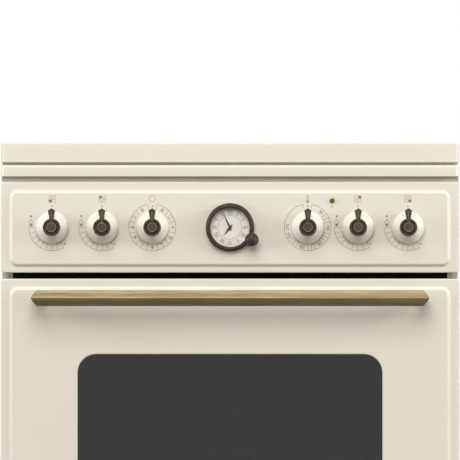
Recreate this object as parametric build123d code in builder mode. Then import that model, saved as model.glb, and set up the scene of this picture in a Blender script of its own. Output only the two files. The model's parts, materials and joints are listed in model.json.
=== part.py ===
from build123d import *
import os
from math import cos, radians, sin

# A 60 cm dual fuel cooker: gas hob under a hinged lid, electric oven, storage drawer.
# Millimetres. +X to the right, -Y to the front, +Z up, floor at Z = 0, centred in X and Y.

# Overall size
width = 600.0
height = 850.0
body_depth = 600.0
handle_reach = 46.0
sheet = 1.2
running_gap = 0.3
pin_clearance = 0.05

# Heights of the front, from the top down
lid_height = 25.5
lid_gap = 3.3
tray_height = 15.0
band_height = 7.2
panel_height = 118.5
vent_gap = 8.0
drawer_gap = 6.0
drawer_height = 128.0
toe_height = 88.5
band_setback = 10.0

# Pressed fronts: a flat rim round a raised field
field_raise = 3.5
field_side = 12.0
field_end = 8.5
field_corner = 10.5
field_draft = 35.0
field_round = 1.2
edge_round = 2.5
outline_corner = 3.2

# Door
door_thickness = 33.0
inner_panel_thickness = 3.0
seal_space = 3.0
seal_width = 9.0
window_width = 400.0
window_rise = 82.0
window_drop = 98.0
window_corner = 25.0
glass_lap = 14.0
glass_thickness = 4.0

# Door hinge
hinge_inset = 44.0
hinge_pin_radius = 4.0
hinge_eye_wall = 2.0
hinge_plate = 4.0
hinge_foot_width = 16.0
hinge_foot_height = 36.0
hinge_notch_gap = 6.0
knuckle_length = 16.0
knuckle_wall = 5.0
knuckle_gap = 3.0
door_axis_depth = 12.0
door_axis_lift = 2.5

# Door handle: a lozenge bar mitred into two legs
handle_length = 521.5
handle_half_height = 10.6
handle_half_depth = 7.8
handle_drop = 25.5

# Carcass
side_bottom = 20.0
side_flange = 8.5
side_step = 12.0
side_lap = 8.0
rear_flange = 17.0
frame_inset = 17.0
frame_lap = 8.0
frame_foot = 4.0
back_inset = 36.0
base_height = 60.0
plinth_inset = 55.0
plinth_lift = 14.0
plinth_gap = 3.0
plinth_flange = 20.0
foot_radius = 18.0
foot_height = 12.0
foot_chamfer = 3.0
foot_inset = 45.0
stud_radius = 5.0
stud_end = 12.0
nut_radius = 10.0
nut_height = 8.0
vent_slot_length = 70.0
vent_slot_width = 8.0
vent_slot_pitch = 26.0
vent_slot_count = 9
anti_tilt_inset = 50.0
anti_tilt_drop = 19.0
anti_tilt_radius = 4.0

# Oven
cavity_width = 440.0
cavity_rise = 40.0
cavity_drop = 60.0
cavity_corner = 20.0
rear_service = 112.0
insulation = 25.0
element_space = 10.0
element_radius = 3.2
element_terminal = 20.0
terminal_radius = 2.6
grill_drop = 14.0
loop_side = 62.0
loop_terminal_x = 45.0
loop_inset = 75.0
loop_bend = 18.0
ring_gap = 26.0
ring_terminal_x = 12.0
ring_depth = 18.0

# Shelves
upright_radius = 2.6
rail_radius = 2.2
weld = 0.5
guide_stand = 6.5
guide_inset = 25.0
shelf_count = 4
shelf_low = 70.0
shelf_top_margin = 70.0
rail_gap = 16.0
shelf_wire_radius = 1.5
shelf_wire_count = 13
shelf_level = 1
tray_level = 0
baking_tray_depth = 22.0
baking_tray_rim = 12.0

# Oven fan
fan_radius = 62.0
fan_depth = 24.0
fan_disc = 1.5
fan_hub_radius = 10.0
fan_blade_count = 8
fan_gap = 12.0
fan_cover_margin = 27.0
fan_cover_depth = 50.0
fan_cover_corner = 15.0
grille_hole_radius = 4.5
grille_pitch = 16.0
shaft_radius = 4.0
motor_radius = 34.0
motor_length = 40.0
motor_nose_radius = 20.0

# Drawer
drawer_length = 450.0
drawer_floor_rise = 14.0
drawer_headroom = 24.0
drawer_side_gap = 6.8
runner_width = 30.0
runner_height = 18.0
runner_rise = 50.0
runner_inset = 60.0
tongue_height = 6.5

# Knobs
knob_inner_x = 101.5
knob_pitch = 65.5
hole_clearance = 1.5
push_travel = 4.0
push_clearance = 0.5
skirt_radius = 21.0
skirt_edge = 1.5
skirt_length = 12.5
skirt_rim = 0.6
hub_radius = 11.4
hub_length = 5.0
hub_round = 1.5
cap_radius = 6.6
cap_length = 3.6
groove_width = 2.0
groove_depth = 1.4
tail_reach = 25.0
tail_tip = 3.1
tail_half_width = 4.8
tail_waist = 3.1
tail_chamfer = 0.8
stem_radius = 4.0
stem_depth = 14.0

# Behind the control panel
collar_radius = 9.0
valve_size = 26.0
valve_collar = 22.0
valve_length = 39.0
switch_size = 44.0
switch_length = 30.0
manifold_radius = 8.0
feed_radius = 7.0
pipe_radius = 4.0
gas_thread_radius = 10.48
gas_thread_length = 24.0
inlet_flange = 4.0
terminal_inset = 110.0
terminal_width = 100.0
terminal_height = 70.0
terminal_corner = 6.0
terminal_setback = 8.0
gland_radius = 11.0
gland_bore = 5.5
gland_length = 22.0
lamp_x = 133.7
lamp_drop = 16.0
lamp_radius = 3.4
lamp_stand = 2.2
lamp_length = 14.0
lamp_flange = 5.8

# Clock
clock_radius = 31.6
bezel_width = 6.0
bezel_height = 9.0
bezel_lip = 2.5
bezel_round = 1.5
glass_seat = 0.8
clock_glass_thickness = 2.0
crown_offset = 1.0
crown_angle = -29.5
crown_radius = 9.0
crown_lobe = 8.0
crown_stem_radius = 2.5
crown_stem_depth = 18.0
movement_depth = 30.0
movement_flange = 2.0
flange_thickness = 3.0
hand_thickness = 0.6
hand_gap = 0.6
hand_tail = 3.4
hand_tip = 0.4
hand_margin = 3.4
hour_length = 11.3
hour_half_width = 1.3
minute_half_width = 1.1
hour_tube_radius = 1.8
minute_arbor_radius = 0.8
minute_angle = 333.0
hour_angle = 216.0

# Hob
well_lift = 4.0
well_margin = 28.0
well_corner = 22.0
tray_flange = 20.0
burner_pitch = 256.0
burner_radii = {"front_left": 36.0, "rear_left": 36.0, "rear_right": 48.0, "front_right": 27.0}
cup_inset = 6.0
cup_drop = 14.0
burner_flange = 3.0
crown_rise = 13.0
port_count = 24
port_width = 1.6
port_depth = 4.0
port_height = 5.0
cap_height = 6.0
cap_round = 3.5
grid_bar = 7.0
grid_depth = 9.0
grid_clearance = 2.3
grid_margin = 11.0
grid_half_gap = 6.0
finger_reach = 0.55

# Lid hinge
lid_axis_inset = 19.0
lid_axis_rise = 9.0
lid_pin_radius = 3.0
lid_barrel_radius = 6.0
lid_barrel_width = 16.0
lid_arm = 12.0
lid_arm_height = 8.0
lid_hinge_inset = 100.0
ear_width = 4.0
bracket_inset = 3.0

# Positions that follow from the sizes
half = width / 2
inside = half - sheet
front = handle_reach - (body_depth + handle_reach) / 2
back = front + body_depth
rim = front + field_raise
field_back = front + sheet
frame_face = front + door_thickness + seal_space
back_face = back - back_inset
lid_bottom = height - lid_height
tray_top = lid_bottom - lid_gap
tray_bottom = tray_top - tray_height
panel_top = tray_bottom - band_height
panel_bottom = panel_top - panel_height
door_top = panel_bottom - vent_gap
drawer_bottom = toe_height
drawer_top = drawer_bottom + drawer_height
door_bottom = drawer_top + drawer_gap
door_height = door_top - door_bottom
knob_z = (panel_top + panel_bottom) / 2
lamp_z = panel_top - field_end - lamp_drop

hinge_x = half - hinge_inset
hinge_eye = hinge_pin_radius + hinge_eye_wall
door_axis_y = front + door_axis_depth
door_axis_z = door_bottom + hinge_eye + door_axis_lift
window_height = door_height - window_rise - window_drop
window_z = door_bottom + window_rise + window_height / 2
handle_z = door_top - handle_drop
handle_y = front - handle_reach + handle_half_depth
frame_half_width = half - frame_inset
anti_tilt_x = half - anti_tilt_inset
terminal_x = terminal_inset - half

cavity_low = door_bottom + cavity_rise
cavity_high = door_top - cavity_drop
cavity_height = cavity_high - cavity_low
cavity_front = frame_face + sheet
cavity_back = back_face - rear_service
fan_z = (cavity_low + cavity_high) / 2
shell_back = cavity_back + sheet
grill_z = cavity_high - grill_drop
loop_half_width = cavity_width / 2 - loop_side
bottom_element_z = cavity_low - sheet - running_gap - element_radius
ring_radius = fan_radius + ring_gap
fan_cover_half = ring_radius + fan_cover_margin
fan_cover_front = cavity_back - fan_cover_depth
shelf_pitch = (cavity_height - shelf_low - shelf_top_margin) / (shelf_count - 1)
shelf_levels = [cavity_low + shelf_low + shelf_pitch * step for step in range(shelf_count)]
upright_x = cavity_width / 2 - guide_stand
rail_x = upright_x - upright_radius - rail_radius + weld
shelf_x = upright_x - upright_radius - rail_radius - running_gap
rail_span = (cavity_front + guide_inset, fan_cover_front - guide_inset / 2)

drawer_half_width = inside - runner_width - drawer_side_gap
drawer_floor = drawer_bottom + drawer_floor_rise
runner_z = drawer_floor + runner_rise

skirt_back = front - push_travel - push_clearance
hub_back = skirt_back - skirt_length - running_gap
hub_front = hub_back - hub_length
manifold_y = field_back + valve_collar + valve_length

clock_opening = clock_radius - bezel_width
clock_face_radius = clock_opening + glass_seat - running_gap / 2
crown_x = (clock_radius + crown_offset) * cos(radians(crown_angle))
crown_z = knob_z + (clock_radius + crown_offset) * sin(radians(crown_angle))
crown_seat = front - bezel_height - running_gap
dial_back = field_back - running_gap
dial_front = dial_back - sheet
hour_y = dial_front - hand_gap
minute_y = hour_y - hand_thickness - hand_gap
minute_length = clock_opening - hand_margin

lid_hinge_x = half - lid_hinge_inset
lid_axis_y = back - lid_axis_inset
lid_axis_z = lid_bottom + lid_axis_rise
lid_back = lid_axis_y - lid_arm
well_low = tray_bottom + well_lift
well_half = half - well_margin
burner_x = well_half / 2
well_front = front + well_margin
well_back = lid_back - well_margin
well_middle = (well_front + well_back) / 2
grid_top = height - sheet - grid_clearance
cup_bottom = tray_bottom - cup_drop
crown_top = well_low + crown_rise

knob_x = {
    "front_left": -knob_inner_x - 2 * knob_pitch,
    "rear_left": -knob_inner_x - knob_pitch,
    "function": -knob_inner_x,
    "thermostat": knob_inner_x,
    "rear_right": knob_inner_x + knob_pitch,
    "front_right": knob_inner_x + 2 * knob_pitch,
}
burners = {
    name: (
        burner_x if "right" in name else -burner_x,
        well_middle + (burner_pitch / 2 if "rear" in name else -burner_pitch / 2),
        radius,
    )
    for name, radius in burner_radii.items()
}
gas_feed_x = (knob_x["rear_right"] + knob_x["front_right"]) / 2
foot_places = [
    (x, y)
    for x in (foot_inset - inside, inside - foot_inset)
    for y in (front + plinth_inset + foot_inset, back_face - foot_inset)
]
terminal_holes = [
    (-loop_terminal_x, grill_z),
    (loop_terminal_x, grill_z),
    (-ring_terminal_x, fan_z - ring_radius),
    (ring_terminal_x, fan_z - ring_radius),
]


def at_y(y):
    """The upright plane at this depth; sketches on it are in X and Z and extrude to the front."""
    return Plane.XZ.offset(-y)


def block(x, y, z, mode=Mode.ADD):
    """A box between pairs of limits."""
    with Locations((sum(x) / 2, sum(y) / 2, sum(z) / 2)):
        Box(x[1] - x[0], y[1] - y[0], z[1] - z[0], mode=mode)


def rod(start, end, radius, mode=Mode.ADD):
    """A round bar from one point to another."""
    run = Vector(*end) - Vector(*start)
    with Locations(Plane(origin=start, z_dir=run)):
        Cylinder(radius, run.length, align=(Align.CENTER, Align.CENTER, Align.MIN), mode=mode)


def sided(side, near, far):
    """A pair of X limits on the right (side 1) or mirrored to the left (side -1)."""
    return (near, far) if side > 0 else (-far, -near)


# Pressed fronts


def pressed_front(low, high, depth):
    """A pressed steel front, open behind, with a raised field inside its rim."""
    middle = (low + high) / 2
    tall = high - low
    with BuildPart() as panel:
        with BuildSketch(at_y(rim)):
            with Locations((0, middle)):
                RectangleRounded(width, tall, outline_corner)
        extrude(amount=-depth)
        fillet(panel.faces().sort_by(Axis.Y)[0].edges(), radius=edge_round)
        with BuildSketch(at_y(rim)):
            with Locations((0, middle)):
                RectangleRounded(width - 2 * field_side, tall - 2 * field_end, field_corner)
        extrude(amount=field_raise, taper=field_draft)
        fillet(panel.faces().sort_by(Axis.Y)[0].edges(), radius=field_round)
        with BuildSketch(at_y(rim + sheet)):
            with Locations((0, middle)):
                RectangleRounded(width - 2 * sheet, tall - 2 * sheet, outline_corner - sheet)
        extrude(amount=-depth, mode=Mode.SUBTRACT)
        with BuildSketch(at_y(rim + sheet)):
            with Locations((0, middle)):
                RectangleRounded(
                    width - 2 * (field_side + sheet), tall - 2 * (field_end + sheet), field_corner - sheet
                )
        extrude(amount=field_raise, taper=field_draft, mode=Mode.SUBTRACT)
    return panel


def control_panel():
    pressed = pressed_front(panel_bottom, panel_top, frame_face - rim)
    with BuildPart() as panel:
        add(pressed.part)
        with BuildSketch(at_y(front)):
            with Locations(*[(x, knob_z) for x in knob_x.values()]):
                Circle(stem_radius + hole_clearance)
            with Locations((0, knob_z)):
                Circle(clock_face_radius + hole_clearance)
            with Locations((crown_x, crown_z)):
                Circle(crown_stem_radius + running_gap)
            with Locations((lamp_x, lamp_z)):
                Circle(lamp_radius)
        extrude(amount=-field_raise - 2 * sheet, mode=Mode.SUBTRACT)
    return panel


def door_outer_panel():
    """The door's outer steel, with the window's opening and slots where the hinges swing."""
    pressed = pressed_front(door_bottom, door_top, door_thickness - inner_panel_thickness - field_raise)
    with BuildPart() as panel:
        add(pressed.part)
        with BuildSketch(at_y(front)):
            with Locations((0, window_z)):
                RectangleRounded(window_width, window_height, window_corner)
        extrude(amount=-field_raise - 2 * sheet, mode=Mode.SUBTRACT)
        for side in (-1, 1):
            block(
                sided(side, hinge_x - hinge_plate, hinge_x + hinge_plate),
                (door_axis_y - hinge_eye - hole_clearance, frame_face),
                (door_bottom - sheet, door_bottom + 2 * sheet),
                Mode.SUBTRACT,
            )
    return panel


def drawer_front():
    return pressed_front(drawer_bottom, drawer_top, door_thickness - field_raise)


# Door


def window_pane(y):
    """A pane that laps behind the window's opening, from this depth back."""
    with BuildPart() as pane:
        with BuildSketch(at_y(y)):
            with Locations((0, window_z)):
                RectangleRounded(
                    window_width + 2 * glass_lap, window_height + 2 * glass_lap, window_corner + glass_lap
                )
        extrude(amount=-glass_thickness)
    return pane


def door_inner_panel():
    with BuildPart() as panel:
        with BuildSketch(at_y(front + door_thickness - inner_panel_thickness)):
            with Locations((0, (door_bottom + door_top) / 2)):
                RectangleRounded(width - 2 * sheet, door_height - 2 * sheet, outline_corner)
            with Locations((0, window_z)):
                RectangleRounded(window_width, window_height, window_corner, mode=Mode.SUBTRACT)
        extrude(amount=-inner_panel_thickness)
        fillet(panel.faces().sort_by(Axis.Y)[-1].edges(), radius=inner_panel_thickness / 3)
        notch_half = hinge_foot_width / 2 + hinge_notch_gap
        notch_top = door_axis_z - hinge_eye + hinge_foot_height + hinge_notch_gap
        for side in (-1, 1):
            notch = sided(side, hinge_x - notch_half, hinge_x + notch_half)
            block(notch, (front, frame_face), (door_bottom - sheet, notch_top), Mode.SUBTRACT)
    return panel


def door_handle():
    leg_x = handle_length / 2 - handle_half_depth
    with BuildPart() as handle:
        with BuildLine() as route:
            Polyline(
                (-leg_x, front, handle_z),
                (-leg_x, handle_y, handle_z),
                (leg_x, handle_y, handle_z),
                (leg_x, front, handle_z),
            )
        with BuildSketch(Plane(origin=(-leg_x, front, handle_z), x_dir=(1, 0, 0), z_dir=(0, -1, 0))):
            with BuildLine():
                Polyline(
                    (-handle_half_depth, 0),
                    (0, handle_half_height),
                    (handle_half_depth, 0),
                    (0, -handle_half_height),
                    close=True,
                )
            make_face()
        sweep(path=route.wires()[0], transition=Transition.RIGHT)
    return handle


def door_hinge_knuckles():
    """Blocks inside the door's lower corners that turn on the hinge pins."""
    near = hinge_x + hinge_plate / 2 + knuckle_gap
    far = near + knuckle_length
    with BuildPart() as knuckles:
        for side in (-1, 1):
            block(
                sided(side, near, far),
                (rim + sheet, door_axis_y + hinge_pin_radius + knuckle_wall),
                (door_bottom + sheet, door_axis_z + hinge_pin_radius + knuckle_wall),
            )
            start = (side * (near - sheet), door_axis_y, door_axis_z)
            end = (side * (far + sheet), door_axis_y, door_axis_z)
            rod(start, end, hinge_pin_radius + pin_clearance, Mode.SUBTRACT)
    return knuckles


def door_hinge_brackets():
    """Plates on the front frame, each with an eye and a pin that reaches into the knuckle."""
    near = hinge_x - hinge_plate / 2
    far = hinge_x + hinge_plate / 2
    foot_low = door_axis_z - hinge_eye
    with BuildPart() as brackets:
        for side in (-1, 1):
            plate_z = (foot_low, door_axis_z + hinge_eye)
            block(sided(side, near, far), (door_axis_y, frame_face), plate_z)
            foot = sided(side, hinge_x - hinge_foot_width / 2, hinge_x + hinge_foot_width / 2)
            foot_y = (frame_face - seal_space + 2 * running_gap, frame_face)
            block(foot, foot_y, (foot_low, foot_low + hinge_foot_height))
            eye = (side * near, door_axis_y, door_axis_z)
            rod(eye, (side * far, door_axis_y, door_axis_z), hinge_eye)
            pin_end = side * (far + knuckle_gap + knuckle_length)
            rod(eye, (pin_end, door_axis_y, door_axis_z), hinge_pin_radius)
    return brackets


# Carcass


def side_panel(side):
    """A folded side: outer wall, front flange stepped back to carry the front frame, rear flange."""
    step_x = half - side_flange
    step_y = frame_face + side_step
    strips = [
        ((inside, half), (frame_face, back)),
        ((step_x, half), (frame_face, frame_face + sheet)),
        ((step_x, step_x + sheet), (frame_face, step_y + sheet)),
        ((frame_half_width - side_lap, step_x + sheet), (step_y, step_y + sheet)),
        ((half - rear_flange, half), (back - sheet, back)),
    ]
    with BuildPart() as panel:
        with BuildSketch(Plane.XY.offset(side_bottom)):
            for x, y in strips:
                with Locations((side * sum(x) / 2, sum(y) / 2)):
                    Rectangle(x[1] - x[0], y[1] - y[0])
        extrude(amount=tray_bottom - side_bottom)
        outer = panel.edges().filter_by(Axis.Z).group_by(Axis.X)[-1 if side > 0 else 0]
        fillet(outer, radius=0.8 * sheet)
        passage = sided(side, frame_half_width - side_lap - sheet, step_x)
        drawer_zone = (side_bottom, door_bottom - frame_foot - sheet)
        block(passage, (frame_face, step_y + 2 * sheet), drawer_zone, Mode.SUBTRACT)
    return panel


def back_panel():
    with BuildPart() as panel:
        block((-inside, inside), (back_face, back_face + sheet), (base_height, tray_bottom))
        with BuildSketch(at_y(back_face + sheet)):
            for row_z in (fan_z, (cavity_high + panel_top) / 2 - vent_slot_length / 2):
                with Locations((0, row_z)):
                    with GridLocations(vent_slot_pitch, vent_slot_length, vent_slot_count, 1):
                        SlotOverall(vent_slot_length, vent_slot_width, rotation=90)
            with Locations((gas_feed_x, knob_z)):
                Circle(gas_thread_radius + hole_clearance)
            with Locations(*[(x, panel_top - anti_tilt_drop) for x in (-anti_tilt_x, anti_tilt_x)]):
                Circle(anti_tilt_radius)
        extrude(amount=sheet, mode=Mode.SUBTRACT)
    return panel


def base_plate():
    with BuildPart() as plate:
        block((-inside, inside), (front + plinth_inset, back_face), (base_height, base_height + sheet))
        for x, y in foot_places:
            hole_low = (x, y, base_height - sheet)
            rod(hole_low, (x, y, base_height + 2 * sheet), stud_radius + running_gap, Mode.SUBTRACT)
    return plate


def levelling_feet():
    with BuildPart() as feet:
        for x, y in foot_places:
            rod((x, y, 0), (x, y, foot_height), foot_radius)
        chamfer(feet.edges().group_by(Axis.Z)[-1], length=foot_chamfer)
        for x, y in foot_places:
            rod((x, y, foot_height), (x, y, base_height + stud_end), stud_radius)
            rod((x, y, base_height - nut_height), (x, y, base_height), nut_radius)
    return feet


def plinth():
    face = front + plinth_inset
    with BuildPart() as board:
        block((-inside, inside), (face - sheet, face), (plinth_lift, drawer_bottom - plinth_gap))
        flange_x = frame_half_width - foot_inset
        block((-flange_x, flange_x), (face, face + plinth_flange), (base_height - sheet, base_height))
    return board


def front_frame():
    """The black enamelled frame round the oven's mouth, open behind."""
    low = door_bottom - frame_foot
    high = panel_bottom + frame_lap
    middle = (low + high) / 2
    with BuildPart() as frame:
        with BuildSketch(at_y(frame_face)):
            with Locations((0, middle)):
                Rectangle(2 * frame_half_width, high - low)
        extrude(amount=-side_step)
        with BuildSketch(at_y(frame_face + sheet)):
            with Locations((0, middle)):
                Rectangle(2 * (frame_half_width - sheet), high - low - 2 * sheet)
        extrude(amount=-side_step, mode=Mode.SUBTRACT)
        with BuildSketch(at_y(frame_face)):
            with Locations((0, fan_z)):
                RectangleRounded(cavity_width, cavity_height, cavity_corner)
        extrude(amount=-2 * sheet, mode=Mode.SUBTRACT)
    return frame


def upper_cross_rail():
    with BuildPart() as rail:
        block((-inside, inside), (front + band_setback, frame_face), (panel_top, tray_bottom))
    return rail


# Oven


def oven_cavity():
    with BuildPart() as cavity:
        with BuildSketch(at_y(cavity_front)):
            with Locations((0, fan_z)):
                RectangleRounded(cavity_width + 2 * sheet, cavity_height + 2 * sheet, cavity_corner + sheet)
        extrude(amount=cavity_front - shell_back)
        with BuildSketch(at_y(cavity_front)):
            with Locations((0, fan_z)):
                RectangleRounded(cavity_width, cavity_height, cavity_corner)
        extrude(amount=cavity_front - cavity_back, mode=Mode.SUBTRACT)
        rod((0, cavity_back, fan_z), (0, shell_back, fan_z), shaft_radius + running_gap, Mode.SUBTRACT)
        for x, z in terminal_holes:
            rod((x, cavity_back, z), (x, shell_back, z), element_radius + running_gap, Mode.SUBTRACT)
    return cavity


def oven_insulation():
    """The mineral wool jacket, with room below the cavity for the bottom element."""
    inner = cavity_width / 2 + sheet
    outer = inner + insulation
    low = cavity_low - sheet - element_space
    high = cavity_high + sheet
    rear = shell_back + insulation
    with BuildPart() as jacket:
        block((-outer, outer), (cavity_front, rear), (low - insulation, high + insulation))
        block((-inner, inner), (cavity_front, shell_back), (low, high), Mode.SUBTRACT)
        rod((0, shell_back, fan_z), (0, rear, fan_z), motor_nose_radius + running_gap, Mode.SUBTRACT)
        bottom_holes = [(-loop_terminal_x, bottom_element_z), (loop_terminal_x, bottom_element_z)]
        for x, z in terminal_holes + bottom_holes:
            rod((x, shell_back, z), (x, rear, z), element_radius + running_gap, Mode.SUBTRACT)
    return jacket


def door_seal():
    with BuildPart() as seal:
        with BuildSketch(at_y(frame_face - seal_space + running_gap)):
            with Locations((0, fan_z)):
                RectangleRounded(
                    cavity_width + 2 * seal_width, cavity_height + 2 * seal_width, cavity_corner + seal_width
                )
                RectangleRounded(cavity_width, cavity_height, cavity_corner, mode=Mode.SUBTRACT)
        extrude(amount=-seal_space + running_gap)
        fillet(seal.faces().sort_by(Axis.Y)[0].edges(), radius=0.4 * seal_space)
    return seal


def shelf_guides():
    """Chrome wire ladders on the oven's side walls, with a pair of rails for each level."""
    low = shelf_levels[0] - rail_gap
    high = shelf_levels[-1] + 2 * rail_gap
    upright_ys = (rail_span[0] + guide_inset, rail_span[1] - guide_inset)
    with BuildPart() as guides:
        for side in (-1, 1):
            for y in upright_ys:
                rod((side * upright_x, y, low), (side * upright_x, y, high), upright_radius)
                for z in (low + rail_gap / 2, high - rail_gap / 2):
                    rod((side * cavity_width / 2, y, z), (side * upright_x, y, z), rail_radius)
            for level in shelf_levels:
                for z in (level, level + rail_gap):
                    rod((side * rail_x, rail_span[0], z), (side * rail_x, rail_span[1], z), rail_radius)
    return guides


def wire_shelf():
    z = shelf_levels[shelf_level] + 2 * rail_radius + running_gap
    near, far = rail_span
    wire_z = z + upright_radius + shelf_wire_radius - weld
    with BuildPart() as shelf:
        for x in (-shelf_x, shelf_x):
            rod((x, near, z), (x, far, z), rail_radius)
        for y in (near + guide_inset, (near + far) / 2, far - guide_inset):
            rod((-shelf_x, y, z), (shelf_x, y, z), upright_radius - weld)
        for step in range(1, shelf_wire_count + 1):
            x = shelf_x * (2 * step / (shelf_wire_count + 1) - 1)
            rod((x, near, wire_z - weld), (x, far, wire_z - weld), shelf_wire_radius)
    return shelf


def baking_tray():
    rest = shelf_levels[tray_level] + rail_radius + running_gap
    edge_x = shelf_x + rail_radius
    pan_x = rail_x - rail_radius - 2 * running_gap
    low = rest - baking_tray_depth
    near, far = rail_span
    pan_near = near + baking_tray_rim
    pan_far = far - baking_tray_rim
    with BuildPart() as tray:
        block((-edge_x, edge_x), (near, far), (rest, rest + sheet))
        block((-pan_x, pan_x), (pan_near, pan_far), (low, rest))
        inner_x = pan_x - sheet
        inner_y = (pan_near + sheet, pan_far - sheet)
        block((-inner_x, inner_x), inner_y, (low + sheet, rest + 2 * sheet), Mode.SUBTRACT)
    return tray


def heating_elements():
    """Grill under the roof, bottom element under the floor, and the ring round the fan."""
    near = cavity_front + loop_inset
    far = fan_cover_front - loop_bend
    rear = cavity_back + element_terminal
    ring_y = cavity_back - ring_depth
    with BuildPart() as elements:
        for z in (grill_z, bottom_element_z):
            with BuildLine() as route:
                FilletPolyline(
                    (-loop_terminal_x, rear, z),
                    (-loop_terminal_x, far, z),
                    (-loop_half_width, far, z),
                    (-loop_half_width, near, z),
                    (loop_half_width, near, z),
                    (loop_half_width, far, z),
                    (loop_terminal_x, far, z),
                    (loop_terminal_x, rear, z),
                    radius=loop_bend,
                )
            with BuildSketch(Plane(origin=(-loop_terminal_x, rear, z), z_dir=(0, -1, 0))):
                Circle(element_radius)
            sweep(path=route.wires()[0])
        with BuildSketch(Plane(origin=(0, ring_y, fan_z), x_dir=(1, 0, 0), z_dir=(0, 0, 1))):
            with Locations((ring_radius, 0)):
                Circle(element_radius)
        revolve(axis=Axis((0, ring_y, fan_z), (0, 1, 0)), revolution_arc=360)
        for x in (-ring_terminal_x, ring_terminal_x):
            z = fan_z - ring_radius
            rod((x, ring_y, z), (x, rear, z), terminal_radius)
    return elements


def fan_cover():
    """A box over the fan: air goes in through the round grille and out through the side slots."""
    low = fan_z - fan_cover_half
    high = fan_z + fan_cover_half
    inner = fan_cover_half - sheet
    with BuildPart() as cover:
        block((-fan_cover_half, fan_cover_half), (fan_cover_front, cavity_back), (low, high))
        fillet(cover.edges().filter_by(Axis.Y), radius=fan_cover_corner)
        hollow_y = (fan_cover_front + sheet, cavity_back)
        block((-inner, inner), hollow_y, (low + sheet, high - sheet), Mode.SUBTRACT)
        with BuildSketch(at_y(fan_cover_front)):
            for ring in (1, 2, 3):
                with Locations((0, fan_z)):
                    with PolarLocations(ring * grille_pitch, 6 * ring):
                        Circle(grille_hole_radius)
        extrude(amount=-2 * sheet, mode=Mode.SUBTRACT)
        slot_y = (fan_cover_front + fan_gap, cavity_back - fan_gap)
        for step in (-2, -1, 0, 1, 2):
            slot_z = fan_z + 2 * step * grille_pitch
            slot = (slot_z - grille_hole_radius, slot_z + grille_hole_radius)
            block((-fan_cover_half, fan_cover_half), slot_y, slot, Mode.SUBTRACT)
    return cover


def oven_fan():
    disc_y = cavity_back - fan_gap
    blade_y = disc_y - fan_depth
    blade_length = fan_radius - fan_hub_radius
    with BuildPart() as fan:
        rod((0, disc_y, fan_z), (0, disc_y - fan_disc, fan_z), fan_radius)
        rod((0, disc_y, fan_z), (0, blade_y, fan_z), fan_hub_radius)
        with Locations(Plane(origin=(0, disc_y, fan_z), x_dir=(1, 0, 0), z_dir=(0, -1, 0))):
            with PolarLocations(fan_hub_radius + blade_length / 2 - fan_disc, fan_blade_count):
                Box(blade_length, fan_disc, fan_depth, align=(Align.CENTER, Align.CENTER, Align.MIN))
        rod((0, disc_y, fan_z), (0, shell_back + insulation + motor_length / 2, fan_z), shaft_radius)
    return fan


def fan_motor():
    body = shell_back + insulation
    with BuildPart() as motor:
        rod((0, shell_back, fan_z), (0, body, fan_z), motor_nose_radius)
        rod((0, body, fan_z), (0, body + motor_length, fan_z), motor_radius)
        bore_end = (0, body + motor_length / 2 + sheet, fan_z)
        rod((0, shell_back, fan_z), bore_end, shaft_radius + pin_clearance, Mode.SUBTRACT)
    return motor


# Drawer


def drawer_box():
    """An open box fixed behind the drawer's front, with a tongue along each side."""
    high = drawer_top - drawer_headroom
    rear = field_back + drawer_length
    with BuildPart() as box:
        block((-drawer_half_width, drawer_half_width), (field_back, rear), (drawer_floor, high))
        inner = drawer_half_width - sheet
        inner_y = (field_back + sheet, rear - sheet)
        block((-inner, inner), inner_y, (drawer_floor + sheet, high + sheet), Mode.SUBTRACT)
        tongue_low = runner_z + sheet + running_gap
        tongue_y = (front + door_thickness, rear)
        for side in (-1, 1):
            tongue = sided(side, drawer_half_width, inside - runner_width / 2)
            block(tongue, tongue_y, (tongue_low, tongue_low + tongue_height))
    return box


def drawer_runners():
    """Channels on the side panels in which the drawer's tongues slide."""
    near = inside - runner_width
    y_span = (frame_face + side_step + sheet, back_face - runner_inset)
    high = runner_z + runner_height
    with BuildPart() as runners:
        for side in (-1, 1):
            block(sided(side, near, inside), y_span, (runner_z, runner_z + sheet))
            block(sided(side, inside - sheet, inside), y_span, (runner_z, high))
            block(sided(side, near, inside), y_span, (high - sheet, high))
    return runners


# Knobs and what they turn


def knob_skirt(x):
    """The cream cone round a knob's stem."""
    top = skirt_back - skirt_length
    bore = stem_radius + running_gap
    with BuildPart() as skirt:
        with BuildSketch(Plane.XY.offset(knob_z)):
            with BuildLine():
                Polyline(
                    (x + bore, skirt_back),
                    (x + skirt_radius, skirt_back),
                    (x + skirt_radius, skirt_back - skirt_edge),
                    (x + hub_radius + skirt_rim, top),
                    (x + bore, top),
                    close=True,
                )
            make_face()
        revolve(axis=Axis((x, 0, knob_z), (0, 1, 0)))
        rims = skirt.edges().filter_by(GeomType.CIRCLE).sort_by(SortBy.RADIUS)[-2:]
        fillet(rims, radius=0.4 * skirt_edge)
    return skirt


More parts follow.
